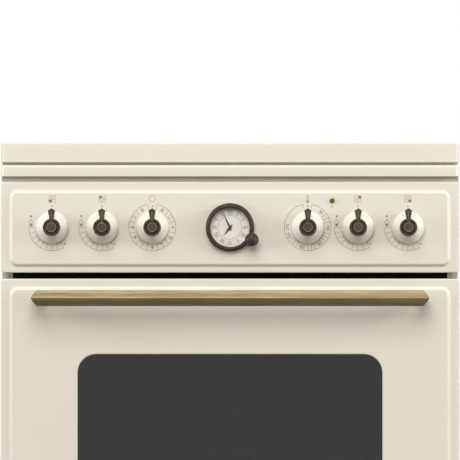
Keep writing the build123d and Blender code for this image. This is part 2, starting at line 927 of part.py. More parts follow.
def knob_pointer(x):
    """The bronze knob: hub, cap, flared tail and the stem that turns the tap or switch."""
    groove_floor = hub_front + groove_depth
    shoulder = tail_reach - tail_tip
    waist = hub_radius - sheet
    with BuildPart() as pointer:
        rod((x, hub_back, knob_z), (x, hub_front, knob_z), hub_radius)
        fillet(pointer.edges().sort_by(Axis.Y)[0], radius=hub_round)
        with BuildSketch(at_y(hub_front)):
            with Locations((x, knob_z)):
                Circle(cap_radius + groove_width)
                Circle(cap_radius, mode=Mode.SUBTRACT)
        extrude(amount=-groove_depth, mode=Mode.SUBTRACT)
        with BuildSketch(at_y(groove_floor)):
            with Locations((x, knob_z)):
                Circle(cap_radius)
            with BuildLine():
                Polyline(
                    (x - tail_waist, knob_z),
                    (x - tail_waist, knob_z + waist),
                    (x - tail_half_width, knob_z + shoulder),
                    (x, knob_z + tail_reach),
                    (x + tail_half_width, knob_z + shoulder),
                    (x + tail_waist, knob_z + waist),
                    (x + tail_waist, knob_z),
                    close=True,
                )
            make_face()
        extrude(amount=groove_depth + cap_length)
        chamfer(pointer.faces().sort_by(Axis.Y)[0].edges(), length=tail_chamfer)
        rod((x, hub_back, knob_z), (x, front + stem_depth, knob_z), stem_radius)
    return pointer


def gas_valves():
    """One tap for each burner: a collar behind the panel and a body clamped on the manifold."""
    body_front = field_back + valve_collar
    bore_end = front + stem_depth + push_travel + hole_clearance
    half_size = valve_size / 2
    with BuildPart() as valves:
        for name in burners:
            x = knob_x[name]
            rod((x, field_back, knob_z), (x, body_front, knob_z), collar_radius)
            upright = (knob_z - half_size, knob_z + half_size)
            block((x - half_size, x + half_size), (body_front, manifold_y), upright)
            rod((x, field_back, knob_z), (x, bore_end, knob_z), stem_radius + pin_clearance, Mode.SUBTRACT)
            left = (x - valve_size, manifold_y, knob_z)
            right = (x + valve_size, manifold_y, knob_z)
            rod(left, right, manifold_radius + running_gap, Mode.SUBTRACT)
    return valves


def gas_pipes():
    """The manifold behind the taps, its feed from the threaded inlet, and a pipe to each burner."""
    left = (knob_x["front_left"] - valve_size, manifold_y, knob_z)
    right = (knob_x["front_right"] + valve_size, manifold_y, knob_z)
    inlet = back_face - valve_size / 2
    tap_top = knob_z + valve_size / 2
    rise = cup_bottom - tap_top
    start_y = manifold_y - manifold_radius - 2 * pipe_radius
    with BuildPart() as pipes:
        rod(left, right, manifold_radius)
        rod((gas_feed_x, manifold_y, knob_z), (gas_feed_x, back_face, knob_z), feed_radius)
        rod((gas_feed_x, inlet, knob_z), (gas_feed_x, back_face, knob_z), gas_thread_radius + inlet_flange)
        thread_end = back_face + sheet + gas_thread_length
        rod((gas_feed_x, inlet, knob_z), (gas_feed_x, thread_end, knob_z), gas_thread_radius)
        for name, (burner_at_x, burner_at_y, _) in burners.items():
            x = knob_x[name]
            level = tap_top + rise * (0.65 if "front" in name else 0.35)
            with BuildLine() as route:
                FilletPolyline(
                    (x, start_y, tap_top),
                    (x, start_y, level),
                    (burner_at_x, burner_at_y, level),
                    (burner_at_x, burner_at_y, cup_bottom),
                    radius=0.3 * rise,
                )
            with BuildSketch(Plane.XY.offset(tap_top)):
                with Locations((x, start_y)):
                    Circle(pipe_radius)
            sweep(path=route.wires()[0])
    return pipes


def oven_switches():
    """The function switch and the thermostat, each with a collar behind the panel."""
    body_front = front + stem_depth + 2 * hole_clearance
    half_size = switch_size / 2
    with BuildPart() as switches:
        for name in ("function", "thermostat"):
            x = knob_x[name]
            rod((x, field_back, knob_z), (x, body_front, knob_z), collar_radius)
            upright = (knob_z - half_size, knob_z + half_size)
            block((x - half_size, x + half_size), (body_front, body_front + switch_length), upright)
            bore_end = (x, front + stem_depth + hole_clearance, knob_z)
            rod((x, field_back, knob_z), bore_end, stem_radius + pin_clearance, Mode.SUBTRACT)
    return switches


def pilot_lamp():
    body_radius = lamp_radius - running_gap / 2
    with BuildPart() as lamp:
        rod((lamp_x, field_back + lamp_length, lamp_z), (lamp_x, front - lamp_stand, lamp_z), body_radius)
        fillet(lamp.edges().sort_by(Axis.Y)[0], radius=0.8 * lamp_stand)
        rod((lamp_x, field_back, lamp_z), (lamp_x, field_back + flange_thickness, lamp_z), lamp_flange)
    return lamp


def terminal_box():
    """The mains terminal cover on the back, with a gland for the supply cable pointing down."""
    rear = (back_face + sheet, back - terminal_setback)
    low = knob_z - terminal_height / 2
    gland_y = sum(rear) / 2
    sides = (terminal_x - terminal_width / 2, terminal_x + terminal_width / 2)
    with BuildPart() as box:
        block(sides, rear, (low, low + terminal_height))
        fillet(box.edges().filter_by(Axis.Y), radius=terminal_corner)
        gland_end = (terminal_x, gland_y, low - gland_length)
        rod(gland_end, (terminal_x, gland_y, low), gland_radius)
        rod(gland_end, (terminal_x, gland_y, low + gland_radius), gland_bore, Mode.SUBTRACT)
    return box


# Clock


def clock_bezel():
    """The bronze ring, with a lobe that carries the setting crown."""
    with BuildPart() as bezel:
        with BuildSketch(at_y(front)):
            with Locations((0, knob_z)):
                Circle(clock_radius)
            with Locations((crown_x, crown_z)):
                Circle(crown_lobe)
        extrude(amount=bezel_height)
        fillet(bezel.faces().sort_by(Axis.Y)[0].edges(), radius=bezel_round)
        with BuildSketch(at_y(front)):
            with Locations((0, knob_z)):
                Circle(clock_opening)
        extrude(amount=bezel_height, mode=Mode.SUBTRACT)
        with BuildSketch(at_y(front)):
            with Locations((0, knob_z)):
                Circle(clock_opening + glass_seat)
        extrude(amount=bezel_height - bezel_lip, mode=Mode.SUBTRACT)
        crown_end = (crown_x, front - bezel_height, crown_z)
        rod((crown_x, front, crown_z), crown_end, crown_stem_radius + pin_clearance, Mode.SUBTRACT)
    return bezel


def clock_glass():
    lip_back = front - bezel_height + bezel_lip
    with BuildPart() as glass:
        rod((0, lip_back, knob_z), (0, lip_back + clock_glass_thickness, knob_z), clock_face_radius)
    return glass


def clock_dial():
    with BuildPart() as dial:
        rod((0, dial_back, knob_z), (0, dial_front, knob_z), clock_face_radius)
        rod((0, dial_back, knob_z), (0, dial_front, knob_z), hour_tube_radius + running_gap, Mode.SUBTRACT)
    return dial


def clock_movement():
    """The clockwork behind the dial; its flange seats on the back of the panel."""
    flange_end = (0, field_back + flange_thickness, knob_z)
    bore_end = (0, field_back + movement_depth / 2, knob_z)
    with BuildPart() as movement:
        rod((0, field_back + movement_depth, knob_z), (0, dial_back, knob_z), clock_face_radius)
        rod((0, field_back, knob_z), flange_end, clock_radius - movement_flange)
        rod((0, dial_back, knob_z), bore_end, hour_tube_radius + pin_clearance, Mode.SUBTRACT)
    return movement


def clock_hand(length, half_width, angle, y):
    """A flat tapering hand with a short tail, turned clockwise from twelve."""
    outline = [
        (-hand_tip, length),
        (hand_tip, length),
        (half_width, hour_tube_radius),
        (hand_tip, -hand_tail),
        (-hand_tip, -hand_tail),
        (-half_width, hour_tube_radius),
    ]
    with BuildPart() as hand:
        with BuildSketch(at_y(y)):
            with Locations(Location((0, knob_z, 0), (0, 0, -angle))):
                Polygon(*outline, align=None)
        extrude(amount=hand_thickness)
    return hand


def hour_hand():
    blank = clock_hand(hour_length, hour_half_width, hour_angle, hour_y)
    tube_front = (0, hour_y - hand_thickness, knob_z)
    tube_back = (0, field_back + movement_depth / 4, knob_z)
    with BuildPart() as hand:
        add(blank.part)
        rod(tube_front, tube_back, hour_tube_radius)
        rod(tube_front, tube_back, minute_arbor_radius + pin_clearance, Mode.SUBTRACT)
    return hand


def minute_hand():
    blank = clock_hand(minute_length, minute_half_width, minute_angle, minute_y)
    arbor_back = (0, field_back + movement_depth / 3, knob_z)
    with BuildPart() as hand:
        add(blank.part)
        rod((0, minute_y, knob_z), (0, minute_y - hand_thickness - hand_gap, knob_z), hour_tube_radius)
        rod((0, minute_y, knob_z), arbor_back, minute_arbor_radius)
    return hand


def clock_setting_knob():
    """The ball crown in front of the bezel's lobe, on its stem."""
    with BuildPart() as crown:
        with Locations((crown_x, crown_seat - crown_radius / 2, crown_z)):
            Sphere(crown_radius)
        block((0, half), (crown_seat, back), (door_top, height), Mode.SUBTRACT)
        stem_end = (crown_x, field_back + crown_stem_depth, crown_z)
        rod((crown_x, crown_seat - bezel_lip, crown_z), stem_end, crown_stem_radius)
    return crown


# Hob


def hob_tray():
    """The enamelled top: a shallow skirt, a well for the burners, and a folded flange below."""
    well_length = well_back - well_front
    with BuildPart() as tray:
        with BuildSketch(Plane.XY.offset(tray_bottom)):
            with Locations((0, (front + back) / 2)):
                RectangleRounded(width, body_depth, 2 * outline_corner)
        extrude(amount=tray_height)
        fillet(tray.faces().sort_by(Axis.Z)[-1].edges(), radius=edge_round)
        hollow_z = (tray_bottom + sheet, tray_top - sheet)
        hollow_x = inside - edge_round
        hollow_y = (front + edge_round, back - edge_round)
        block((-hollow_x, hollow_x), hollow_y, hollow_z, Mode.SUBTRACT)
        mouth_x = half - tray_flange
        mouth_y = (frame_face + tray_flange, back - 2 * tray_flange)
        block((-mouth_x, mouth_x), mouth_y, (tray_bottom, tray_bottom + sheet), Mode.SUBTRACT)
        with BuildSketch(Plane.XY.offset(well_low - sheet)):
            with Locations((0, well_middle)):
                RectangleRounded(2 * (well_half + sheet), well_length + 2 * sheet, well_corner + sheet)
        extrude(amount=tray_top - well_low)
        with BuildSketch(Plane.XY.offset(well_low)):
            with Locations((0, well_middle)):
                RectangleRounded(2 * well_half, well_length, well_corner)
        extrude(amount=tray_top - well_low, mode=Mode.SUBTRACT)
        for x, y, radius in burners.values():
            rod((x, y, tray_bottom), (x, y, tray_top), radius - cup_inset + running_gap, Mode.SUBTRACT)
    return tray


def burner_bodies():
    """Aluminium cups that hang in the tray, each with a crown of flame ports."""
    with BuildPart() as bodies:
        for x, y, radius in burners.values():
            crown_radius_here = radius - burner_flange
            rod((x, y, cup_bottom), (x, y, well_low), radius - cup_inset)
            rod((x, y, well_low), (x, y, well_low + burner_flange), radius)
            rod((x, y, well_low + burner_flange), (x, y, crown_top), crown_radius_here)
            with Locations((x, y, crown_top)):
                with PolarLocations(crown_radius_here, port_count):
                    Box(2 * port_depth, port_width, 2 * port_height, mode=Mode.SUBTRACT)
    return bodies


def burner_caps():
    with BuildPart() as caps:
        for x, y, radius in burners.values():
            rod((x, y, crown_top), (x, y, crown_top + cap_height), radius)
        fillet(caps.edges().group_by(Axis.Z)[-1], radius=cap_round)
    return caps


def pan_supports():
    """Cast iron grids, one for each side, with four fingers over each burner."""
    level = (grid_top - grid_depth, grid_top)
    near_y = well_front + grid_margin
    far_y = well_back - grid_margin
    far_x = well_half - grid_margin
    bar = grid_bar / 2
    with BuildPart() as grids:
        for side in (-1, 1):
            for x in (grid_half_gap + bar, far_x - bar):
                block(sided(side, x - bar, x + bar), (near_y, far_y), level)
                for y in (near_y + bar, well_middle, far_y - bar):
                    block(sided(side, x - bar, x + bar), (y - bar, y + bar), (well_low, grid_top))
            for y in (near_y + bar, well_middle, far_y - bar):
                block(sided(side, grid_half_gap, far_x), (y - bar, y + bar), level)
        for x, y, radius in burners.values():
            tip = finger_reach * radius
            side = 1 if x > 0 else -1
            ends = (near_y, well_middle) if y < well_middle else (well_middle, far_y)
            for span in ((ends[0], y - tip), (y + tip, ends[1])):
                block((x - bar, x + bar), span, level)
            for near, far in ((grid_half_gap, burner_x - tip), (burner_x + tip, far_x)):
                block(sided(side, near, far), (y - bar, y + bar), level)
    return grids


# Lid


def hob_lid():
    middle = (front + lid_back) / 2
    length = lid_back - front
    corner = 2 * outline_corner
    with BuildPart() as lid:
        with BuildSketch(Plane.XY.offset(lid_bottom)):
            with Locations((0, middle)):
                RectangleRounded(width, length, corner)
        extrude(amount=lid_height)
        fillet(lid.faces().sort_by(Axis.Z)[-1].edges(), radius=edge_round)
        with BuildSketch(Plane.XY.offset(lid_bottom)):
            with Locations((0, middle)):
                RectangleRounded(width - 2 * sheet, length - 2 * sheet, corner - sheet)
        extrude(amount=lid_height - sheet, mode=Mode.SUBTRACT)
    return lid


def lid_hinge_arms():
    """Short arms behind the lid, each ending in a barrel on its hinge pin."""
    with BuildPart() as arms:
        for x in (-lid_hinge_x, lid_hinge_x):
            left = (x - lid_barrel_width / 2, lid_axis_y, lid_axis_z)
            right = (x + lid_barrel_width / 2, lid_axis_y, lid_axis_z)
            rod(left, right, lid_barrel_radius)
            arm_z = (lid_axis_z - lid_arm_height / 2, lid_axis_z + lid_arm_height / 2)
            block((left[0], right[0]), (lid_back, lid_axis_y), arm_z)
            rod(left, right, lid_pin_radius + pin_clearance, Mode.SUBTRACT)
    return arms


def lid_hinge_brackets():
    """Brackets on the tray's rear edge, each with two ears and the pin between them."""
    inner = lid_barrel_width / 2 + running_gap
    reach = inner + ear_width
    plate_y = (lid_back + 2 * sheet, back - bracket_inset)
    ear_y = (lid_axis_y - lid_barrel_radius, lid_axis_y + lid_barrel_radius)
    with BuildPart() as brackets:
        for x in (-lid_hinge_x, lid_hinge_x):
            block((x - reach, x + reach), plate_y, (tray_top, tray_top + lid_gap - running_gap))
            for ear in ((x - reach, x - inner), (x + inner, x + reach)):
                block(ear, ear_y, (tray_top, lid_axis_z))
                rod((ear[0], lid_axis_y, lid_axis_z), (ear[1], lid_axis_y, lid_axis_z), lid_barrel_radius)
            rod((x - reach, lid_axis_y, lid_axis_z), (x + reach, lid_axis_y, lid_axis_z), lid_pin_radius)
    return brackets


pieces = {
    "side_panel_left": side_panel(-1),
    "side_panel_right": side_panel(1),
    "back_panel": back_panel(),
    "base_plate": base_plate(),
    "plinth": plinth(),
    "levelling_feet": levelling_feet(),
    "front_frame": front_frame(),
    "upper_cross_rail": upper_cross_rail(),
    "oven_cavity": oven_cavity(),
    "oven_insulation": oven_insulation(),
    "door_seal": door_seal(),
    "shelf_guides": shelf_guides(),
    "wire_shelf": wire_shelf(),
    "baking_tray": baking_tray(),
    "heating_elements": heating_elements(),
    "fan_cover": fan_cover(),
    "oven_fan": oven_fan(),
    "fan_motor": fan_motor(),
    "door_outer_panel": door_outer_panel(),
    "door_window_glass": window_pane(field_back),
    "door_inner_panel": door_inner_panel(),
    "door_inner_glass": window_pane(front + door_thickness - inner_panel_thickness - glass_thickness),
    "door_handle": door_handle(),
    "door_hinge_knuckles": door_hinge_knuckles(),
    "door_hinge_brackets": door_hinge_brackets(),
    "drawer_front": drawer_front(),
    "drawer_box": drawer_box(),
    "drawer_runners": drawer_runners(),
    "control_panel": control_panel(),
    "gas_valves": gas_valves(),
    "gas_pipes": gas_pipes(),
    "oven_switches": oven_switches(),
    "pilot_lamp": pilot_lamp(),
    "clock_bezel": clock_bezel(),
    "clock_glass": clock_glass(),
    "clock_dial": clock_dial(),
    "clock_movement": clock_movement(),
    "hour_hand": hour_hand(),
    "minute_hand": minute_hand(),
    "clock_setting_knob": clock_setting_knob(),
    "hob_tray": hob_tray(),
    "burner_bodies": burner_bodies(),
    "burner_caps": burner_caps(),
    "pan_supports": pan_supports(),
    "hob_lid": hob_lid(),
    "lid_hinge_arms": lid_hinge_arms(),
    "lid_hinge_brackets": lid_hinge_brackets(),
    "terminal_box": terminal_box(),
}
for knob, place in knob_x.items():
    pieces[f"{knob}_knob_skirt"] = knob_skirt(place)
    pieces[f"{knob}_knob_pointer"] = knob_pointer(place)

os.makedirs("parts", exist_ok=True)
for name, piece in pieces.items():
    piece.part.label = name
    export_step(piece.part, f"parts/{name}.step")
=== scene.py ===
import json
import math

import bmesh
import bpy
from mathutils import Matrix, Vector


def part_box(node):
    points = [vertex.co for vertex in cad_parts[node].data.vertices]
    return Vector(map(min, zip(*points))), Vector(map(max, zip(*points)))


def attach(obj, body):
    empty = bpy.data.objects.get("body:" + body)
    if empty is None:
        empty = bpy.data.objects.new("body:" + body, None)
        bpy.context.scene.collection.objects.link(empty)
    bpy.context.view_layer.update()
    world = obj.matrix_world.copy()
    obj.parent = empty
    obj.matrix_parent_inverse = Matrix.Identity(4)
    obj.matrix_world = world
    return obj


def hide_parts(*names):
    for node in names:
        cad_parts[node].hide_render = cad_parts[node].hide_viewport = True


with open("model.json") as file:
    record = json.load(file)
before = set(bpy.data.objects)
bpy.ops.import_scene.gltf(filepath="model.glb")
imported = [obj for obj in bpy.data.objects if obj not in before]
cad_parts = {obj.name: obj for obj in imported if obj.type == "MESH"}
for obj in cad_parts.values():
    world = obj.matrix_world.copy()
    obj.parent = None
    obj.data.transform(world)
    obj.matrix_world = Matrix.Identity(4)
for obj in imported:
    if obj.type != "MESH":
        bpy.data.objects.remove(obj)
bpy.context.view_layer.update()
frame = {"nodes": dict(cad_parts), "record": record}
mm = 0.001
nodes = frame["nodes"]
record = frame["record"]
bodyOf = {node: body for body, members in record["behaviour"]["bodies"].items() for node in members}
slotOf = {part["node"]: part["material_slot"] for part in record["subparts"]}

panelLow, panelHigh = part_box("control_panel")
lidLow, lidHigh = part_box("hob_lid")
trayLow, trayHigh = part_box("hob_tray")
frontY = panelLow.y
knobZ = (panelLow.z + panelHigh.z) / 2
knobNames = ("front_left", "rear_left", "function", "thermostat", "rear_right", "front_right")


def inMm(**sizes):
    # sizes written in millimetres, kept in metres
    return {name: size * mm for name, size in sizes.items()}


def boxCentre(node):
    low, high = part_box(node)
    return (low + high) / 2


knobX = {name: boxCentre(f"{name}_knob_skirt").x for name in knobNames}
lampCentre = boxCentre("pilot_lamp")
clockCentre = boxCentre("clock_dial")
print("frame read:", len(nodes), "nodes")


# Materials

def linear(hexColour):
    shares = [int(hexColour[i:i + 2], 16) / 255 for i in (1, 3, 5)]
    return [s / 12.92 if s <= 0.04045 else ((s + 0.055) / 1.055) ** 2.4 for s in shares] + [1.0]


def connect(node, links):
    for key, socket in links.items():
        node.id_data.links.new(socket, node.inputs[key])


def addNode(tree, kind, settings, links=None, out=0):
    # gives the one output that is used
    node = tree.nodes.new("ShaderNode" + kind)
    for key, value in settings.items():
        if isinstance(key, int) or key in node.inputs:
            node.inputs[key].default_value = value
        else:
            setattr(node, key, value)
    connect(node, links or {})
    return node.outputs[out]


def startMaterial(name, values):
    material = bpy.data.materials.new(name)
    material.use_nodes = True
    tree = material.node_tree
    shader = tree.nodes["Principled BSDF"]
    for key, value in values.items():
        shader.inputs[key].default_value = value
    return material, tree, shader, addNode(tree, "TexCoord", {}, out="Object")


def perMetre(size):
    return 1000 / size  # a pattern of this many millimetres, on coordinates in metres


def mottledMaterial(name, colours, patch, grain, rough, depth, values, stretch=(1, 1, 1), over=None):
    # two close tones in soft patches, with a finer grain that moves the roughness and the bump
    material, tree, shader, place = startMaterial(name, values)
    turned = addNode(tree, "Mapping", {"Scale": stretch}, {"Vector": place})
    drift = addNode(tree, "TexNoise", {"Scale": perMetre(patch), "Detail": 3.0}, {"Vector": turned}, "Fac")
    spread = addNode(tree, "MapRange", {1: 0.35, 2: 0.65}, {0: drift})
    tones = {6: linear(colours[0]), 7: linear(colours[1])}
    tone = addNode(tree, "Mix", {"data_type": "RGBA", **tones}, {0: spread}, 2)
    if over:
        tone = over(tree, place, tone)
    fine = addNode(tree, "TexNoise", {"Scale": perMetre(grain), "Detail": 4.0}, {"Vector": turned}, "Fac")
    gloss = addNode(tree, "MapRange", {1: 0.3, 2: 0.7, 3: rough[0], 4: rough[1]}, {0: fine})
    relief = addNode(tree, "Bump", {"Strength": 1.0, "Distance": depth * mm}, {"Height": fine})
    connect(shader, {"Base Color": tone, "Roughness": gloss, "Normal": relief})
    return material


def handleUndersideShade(tree, place, tone):
    # painted shade: the handle's underside is made darker, standing in for the darker light its lower facets
    # catch
    low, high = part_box("door_handle")
    shadeStart, dark = high.z - 6 * mm, low.z + 8 * mm  # heights where the painted shade starts and where it is full
    height = addNode(tree, "SeparateXYZ", {}, {0: place}, "Z")
    under = addNode(tree, "MapRange", {1: shadeStart, 2: dark}, {0: height})
    # painted shade: this colour multiplies the bar darker towards its bottom
    return addNode(tree, "Mix", {"data_type": "RGBA", "blend_type": "MULTIPLY", 7: linear("#C6C3BE")},
                   {0: under, 6: tone}, 2)


def firedFlecks(tree, place, tone):
    fleck = {"pitch": 3.2, "edge": 0.22, "core": 0.154}  # pitch in mm, the rest as shares of it
    cells = addNode(tree, "TexVoronoi", {"Scale": perMetre(fleck["pitch"])}, {"Vector": place}, "Distance")
    spot = addNode(tree, "MapRange", {1: fleck["edge"], 2: fleck["core"]}, {0: cells})
    return addNode(tree, "Mix", {"data_type": "RGBA", 7: linear("#8E9296")}, {0: spot, 6: tone}, 2)


def lensPaintedGlow(tree, place, tone):
    # painted light: a paler glow is mixed in low on the right of the lens
    lean = Vector((0.7, 0, -0.7))
    middle = lampCentre.dot(lean)
    along = addNode(tree, "VectorMath", {"operation": "DOT_PRODUCT", 1: lean}, {0: place}, "Value")
    glow = addNode(tree, "MapRange", {1: middle - 1.6 * mm, 2: middle + 2.4 * mm}, {0: along})
    return addNode(tree, "Mix", {"data_type": "RGBA", 7: linear("#96722A")}, {0: glow, 6: tone}, 2)


# name, two tones, patch and grain in mm, roughness range, relief in mm, more sockets, stretch of the grain,
# what lies over the tone
mottledFinishes = {
    # vitreous enamel fired on pressed steel: even soft gloss, faint orange peel, a slight drift in tone
    "cream_enamel": ("creamVitreousEnamel", ("#E5DFCF", "#E3DCCC"), 320, 2.4, (0.29, 0.35), 0.002,
        {"IOR": 1.5, "Coat Weight": 0.15, "Coat Roughness": 0.08}),
    # the lid's enamel: the same cream, fired a little more matt so that its wide top shows no glare
    "lid": ("creamSemiMattEnamel", ("#E5DFCF", "#E3DCCC"), 320, 2.4, (0.48, 0.56), 0.002, {"IOR": 1.5}),
    # the rail behind the tray's overhang: the same cream enamel, painted greyer as shade for its recess under
    # the overhang
    "rail": ("shadeGreyedCreamRail", ("#CBC5B5", "#C4BEAE"), 90, 2.4, (0.4, 0.5), 0.004, {"IOR": 1.5}),
    # moulded and lacquered cream skirts of the knobs: a little whiter and softer than the panel
    "skirt": ("creamLacqueredSkirt", ("#EEE9DC", "#E8E2D4"), 30, 1.2, (0.3, 0.4), 0.004, {"IOR": 1.5}),
    # cast bronze under a dark oiled patina: brown-black with slightly lighter rubbed patches
    "bronze": ("agedBronzePatina", ("#463E30", "#504737"), 9, 0.7, (0.36, 0.5), 0.008,
        {"Metallic": 0.1, "Specular IOR Level": 0.2}),
    # the rim of each knob's cap, where the patina has worn through to paler metal
    "rim": ("rubbedBronzeRim", ("#615848", "#6E6452"), 5, 0.6, (0.34, 0.46), 0.006, {"Metallic": 0.5}),
    # the clock's ring and crown: the same bronze, oiled darker and a little smoother
    "ring": ("darkOiledBronze", ("#382F24", "#423A2D"), 9, 0.7, (0.32, 0.44), 0.008,
        {"Metallic": 0.1, "Specular IOR Level": 0.2}),
    # black-brown lacquer on the clock's hands: satin and dark
    "hand": ("blackBrownHandLacquer", ("#423A30", "#4C4338"), 6, 0.5, (0.4, 0.5), 0.002,
        {"Specular IOR Level": 0.2}),
    # printed dial: matt ivory paint, a little uneven
    "dial_paint": ("mattIvoryDialPaint", ("#FFF9EF", "#FAF3E8"), 24, 0.6, (0.5, 0.62), 0.004, {}),
    # fired ceramic ink: flat grey-brown, thinner in places
    "ink": ("firedGreyBrownInk", ("#7B7062", "#8A7F70"), 6, 0.5, (0.5, 0.6), 0.001, {}),
    # the dial's ink: the same, printed paler
    "dialInk": ("paleGreyDialInk", ("#968C7E", "#A2988A"), 6, 0.5, (0.5, 0.6), 0.001, {}),
    # drawn bronze bar, brushed along its length: pale gold with fine lengthwise streaks, and painted shade that
    # makes it darker below
    "handle_bronze": ("satinBrushedBronze", ("#908363", "#7B6E53"), 3, 0.9, (0.22, 0.268), 0.004,
        {"Metallic": 1.0, "Coat Weight": 0.2, "Coat Roughness": 0.3}, (0.05, 1, 1), handleUndersideShade),
    # moulded amber acrylic, unlit: dark brown-orange, with painted light that makes it paler low on the right,
    # as if light gathered in it
    "amber_lens": ("mouldedAmberAcrylic", ("#4A3406", "#583F0C"), 3, 0.8, (0.15, 0.25), 0.01,
        {"Specular IOR Level": 0.2}, (1, 1, 1), lensPaintedGlow),
    # self-cleaning oven enamel: dark slate with pale fired flecks
    "oven_enamel": ("speckledOvenEnamel", ("#2A2E33", "#34383D"), 40, 0.9, (0.32, 0.5), 0.02,
        {"IOR": 1.5}, (1, 1, 1), firedFlecks),
    # black vitreous enamel: deep gloss with a faint grey bloom
    "black_enamel": ("blackVitreousEnamel", ("#0E1310", "#161A17"), 60, 1.8, (0.16, 0.26), 0.006, {"IOR": 1.5}),
    # heat-proof black paint behind the vent gap, dead matt: partly the frame's own paint, partly painted shade
    # for the dark of the vent cavity, so that the gap reads as a black line
    "frame": ("mattBlackPaintAndVentShade", ("#1D2420", "#222925"), 50, 1.0, (0.8, 0.9), 0.01,
        {"Specular IOR Level": 0.08}),
    # nickel and chrome plated wire: bright, with a slight bluish cast and fine haze
    "wire_chrome": ("chromePlatedWire", ("#D6D9DC", "#C8CBCF"), 25, 0.6, (0.1, 0.22), 0.004, {"Metallic": 1.0}),
    # heat-tinted nickel alloy tube: matt grey-brown with blotches of oxide
    "heater": ("heatTintedSheath", ("#3B3733", "#544A42"), 14, 0.8, (0.45, 0.65), 0.01, {"Metallic": 0.8}),
    # pressed mineral wool: matt straw colour with tangled fibres
    "wool": ("pressedMineralWool", ("#B9A878", "#9C8C62"), 18, 1.4, (0.9, 1.0), 0.6, {}, (1, 0.3, 1)),
    # braided oven seal: dark grey and matt, with a short ribbed grain
    "seal_rubber": ("braidedOvenSeal", ("#2B2A28", "#3A3835"), 8, 1.1, (0.7, 0.85), 0.15, {}),
    # extruded silicone bead: soft matt beige, duller than the enamel, and darker partly as painted shade for the
    # gap between lid and tray
    "bead": ("shadeDarkenedBeigeSilicone", ("#C2BCAB", "#B8B2A1"), 20, 0.8, (0.6, 0.7), 0.01, {"IOR": 1.42}),
    # moulded black phenolic: fine matt grain
    "black_plastic": ("mouldedBlackPhenolic", ("#1B1A19", "#242321"), 30, 0.5, (0.42, 0.55), 0.02,
        {"IOR": 1.5}),
    # moulded white terminal cover: warm white with a light spark-eroded grain
    "white_plastic": ("mouldedWhitePolyamide", ("#DAD7CF", "#D0CCC2"), 40, 0.7, (0.45, 0.6), 0.03,
        {"IOR": 1.5}),
    # forged brass taps: yellow, lightly tarnished
    "valve_brass": ("forgedValveBrass", ("#B89A55", "#9C8144"), 12, 0.6, (0.3, 0.46), 0.02, {"Metallic": 1.0}),
    # drawn aluminium tube: pale and satin
    "pipe_aluminium": ("drawnAluminiumTube", ("#C4C6C8", "#B4B6B9"), 30, 0.8, (0.3, 0.42), 0.008,
        {"Metallic": 1.0}),
    # die-cast burner bodies: grey, grainy, slightly smoked
    "burner_aluminium": ("dieCastBurnerAluminium", ("#9B9C9D", "#83837F"), 16, 0.7, (0.4, 0.58), 0.04,
        {"Metallic": 1.0}),
    # cast iron under matt black enamel: pebbled skin that breaks up the light
    "cast_iron": ("enamelledCastIron", ("#171716", "#222120"), 20, 1.3, (0.5, 0.7), 0.12, {"IOR": 1.5}),
}


def zincSteel():
    # hot-dip galvanised sheet: flat crystals a centimetre across, each a slightly different grey
    material, tree, shader, place = startMaterial("galvanisedSteelSheet", {"Metallic": 1.0})
    grain = {"Scale": perMetre(9), "Randomness": 1.0}
    crystals = addNode(tree, "TexVoronoi", grain, {"Vector": place}, "Color")
    split = addNode(tree, "SeparateColor", {}, {0: crystals}).node.outputs
    tones = {6: linear("#A9ADB0"), 7: linear("#C3C6C8")}
    tone = addNode(tree, "Mix", {"data_type": "RGBA", **tones}, {0: split[0]}, 2)
    gloss = addNode(tree, "MapRange", {3: 0.42, 4: 0.54}, {0: split[1]})
    connect(shader, {"Base Color": tone, "Roughness": gloss})
    return material


def hazedGlass(name, values, film, rough):
    # a clear sheet with a film that dulls its gloss in wide patches
    material, tree, shader, place = startMaterial(name, values)
    patches = addNode(tree, "TexNoise", {"Scale": perMetre(film)}, {"Vector": place}, "Fac")
    haze = addNode(tree, "MapRange", {3: rough[0], 4: rough[1]}, {0: patches})
    connect(shader, {"Roughness": haze})
    return material


finishes = {key: mottledMaterial(*made) for key, made in mottledFinishes.items()}
finishes.update({
    "zinc_steel": zincSteel(),
    # toughened door glass with a smoke tint: dark from outside, with clear reflections
    "window_glass": hazedGlass(
        "smokedDoorGlass", {"Base Color": linear("#6B6C69"), "Transmission Weight": 1.0, "IOR": 1.5},
        90, (0.01, 0.05)),
    # thin mineral crystal over the dial: clear, with a trace of haze
    "clear_glass": hazedGlass(
        "clearMineralCrystal", {"Base Color": linear("#20211F"), "Alpha": 0.02, "IOR": 1.5}, 20, (0.0, 0.02)),
})
ownFinish = {"front_frame": "frame", "upper_cross_rail": "rail", "clock_setting_knob": "ring"}
for name, node in nodes.items():
    node.data.materials.clear()
    node.data.materials.append(finishes[ownFinish.get(name, slotOf[name])])
print("materials made:", len(finishes))


# Modelling helpers

def addObject(name, data):
    made = bpy.data.objects.new(name, data)
    bpy.context.scene.collection.objects.link(made)
    return made


def addMesh(name, bm, material):
    mesh = bpy.data.meshes.new(name)
    bm.to_mesh(mesh)
    bm.free()
    mesh.materials.append(material)
    return addObject(name, mesh)


def newPiece(name, bm, body, slot, finish=None, replaces=(), sharp=38, thickness=None):
    for face in bm.faces:
        face.smooth = True
    for edge in bm.edges:
        edge.smooth = not edge.is_manifold or edge.calc_face_angle(0) < math.radians(sharp)
    piece = addMesh(name, bm, finishes[finish or slot])
    if thickness:
        wall = piece.modifiers.new("sheetWall", "SOLIDIFY")
        wall.thickness = thickness
        wall.offset = -1
        wall.use_even_offset = True
    piece.modifiers.new("evenShade", "WEIGHTED_NORMAL").keep_sharp = True
    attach(piece, body)
    if replaces:
        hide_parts(*replaces)


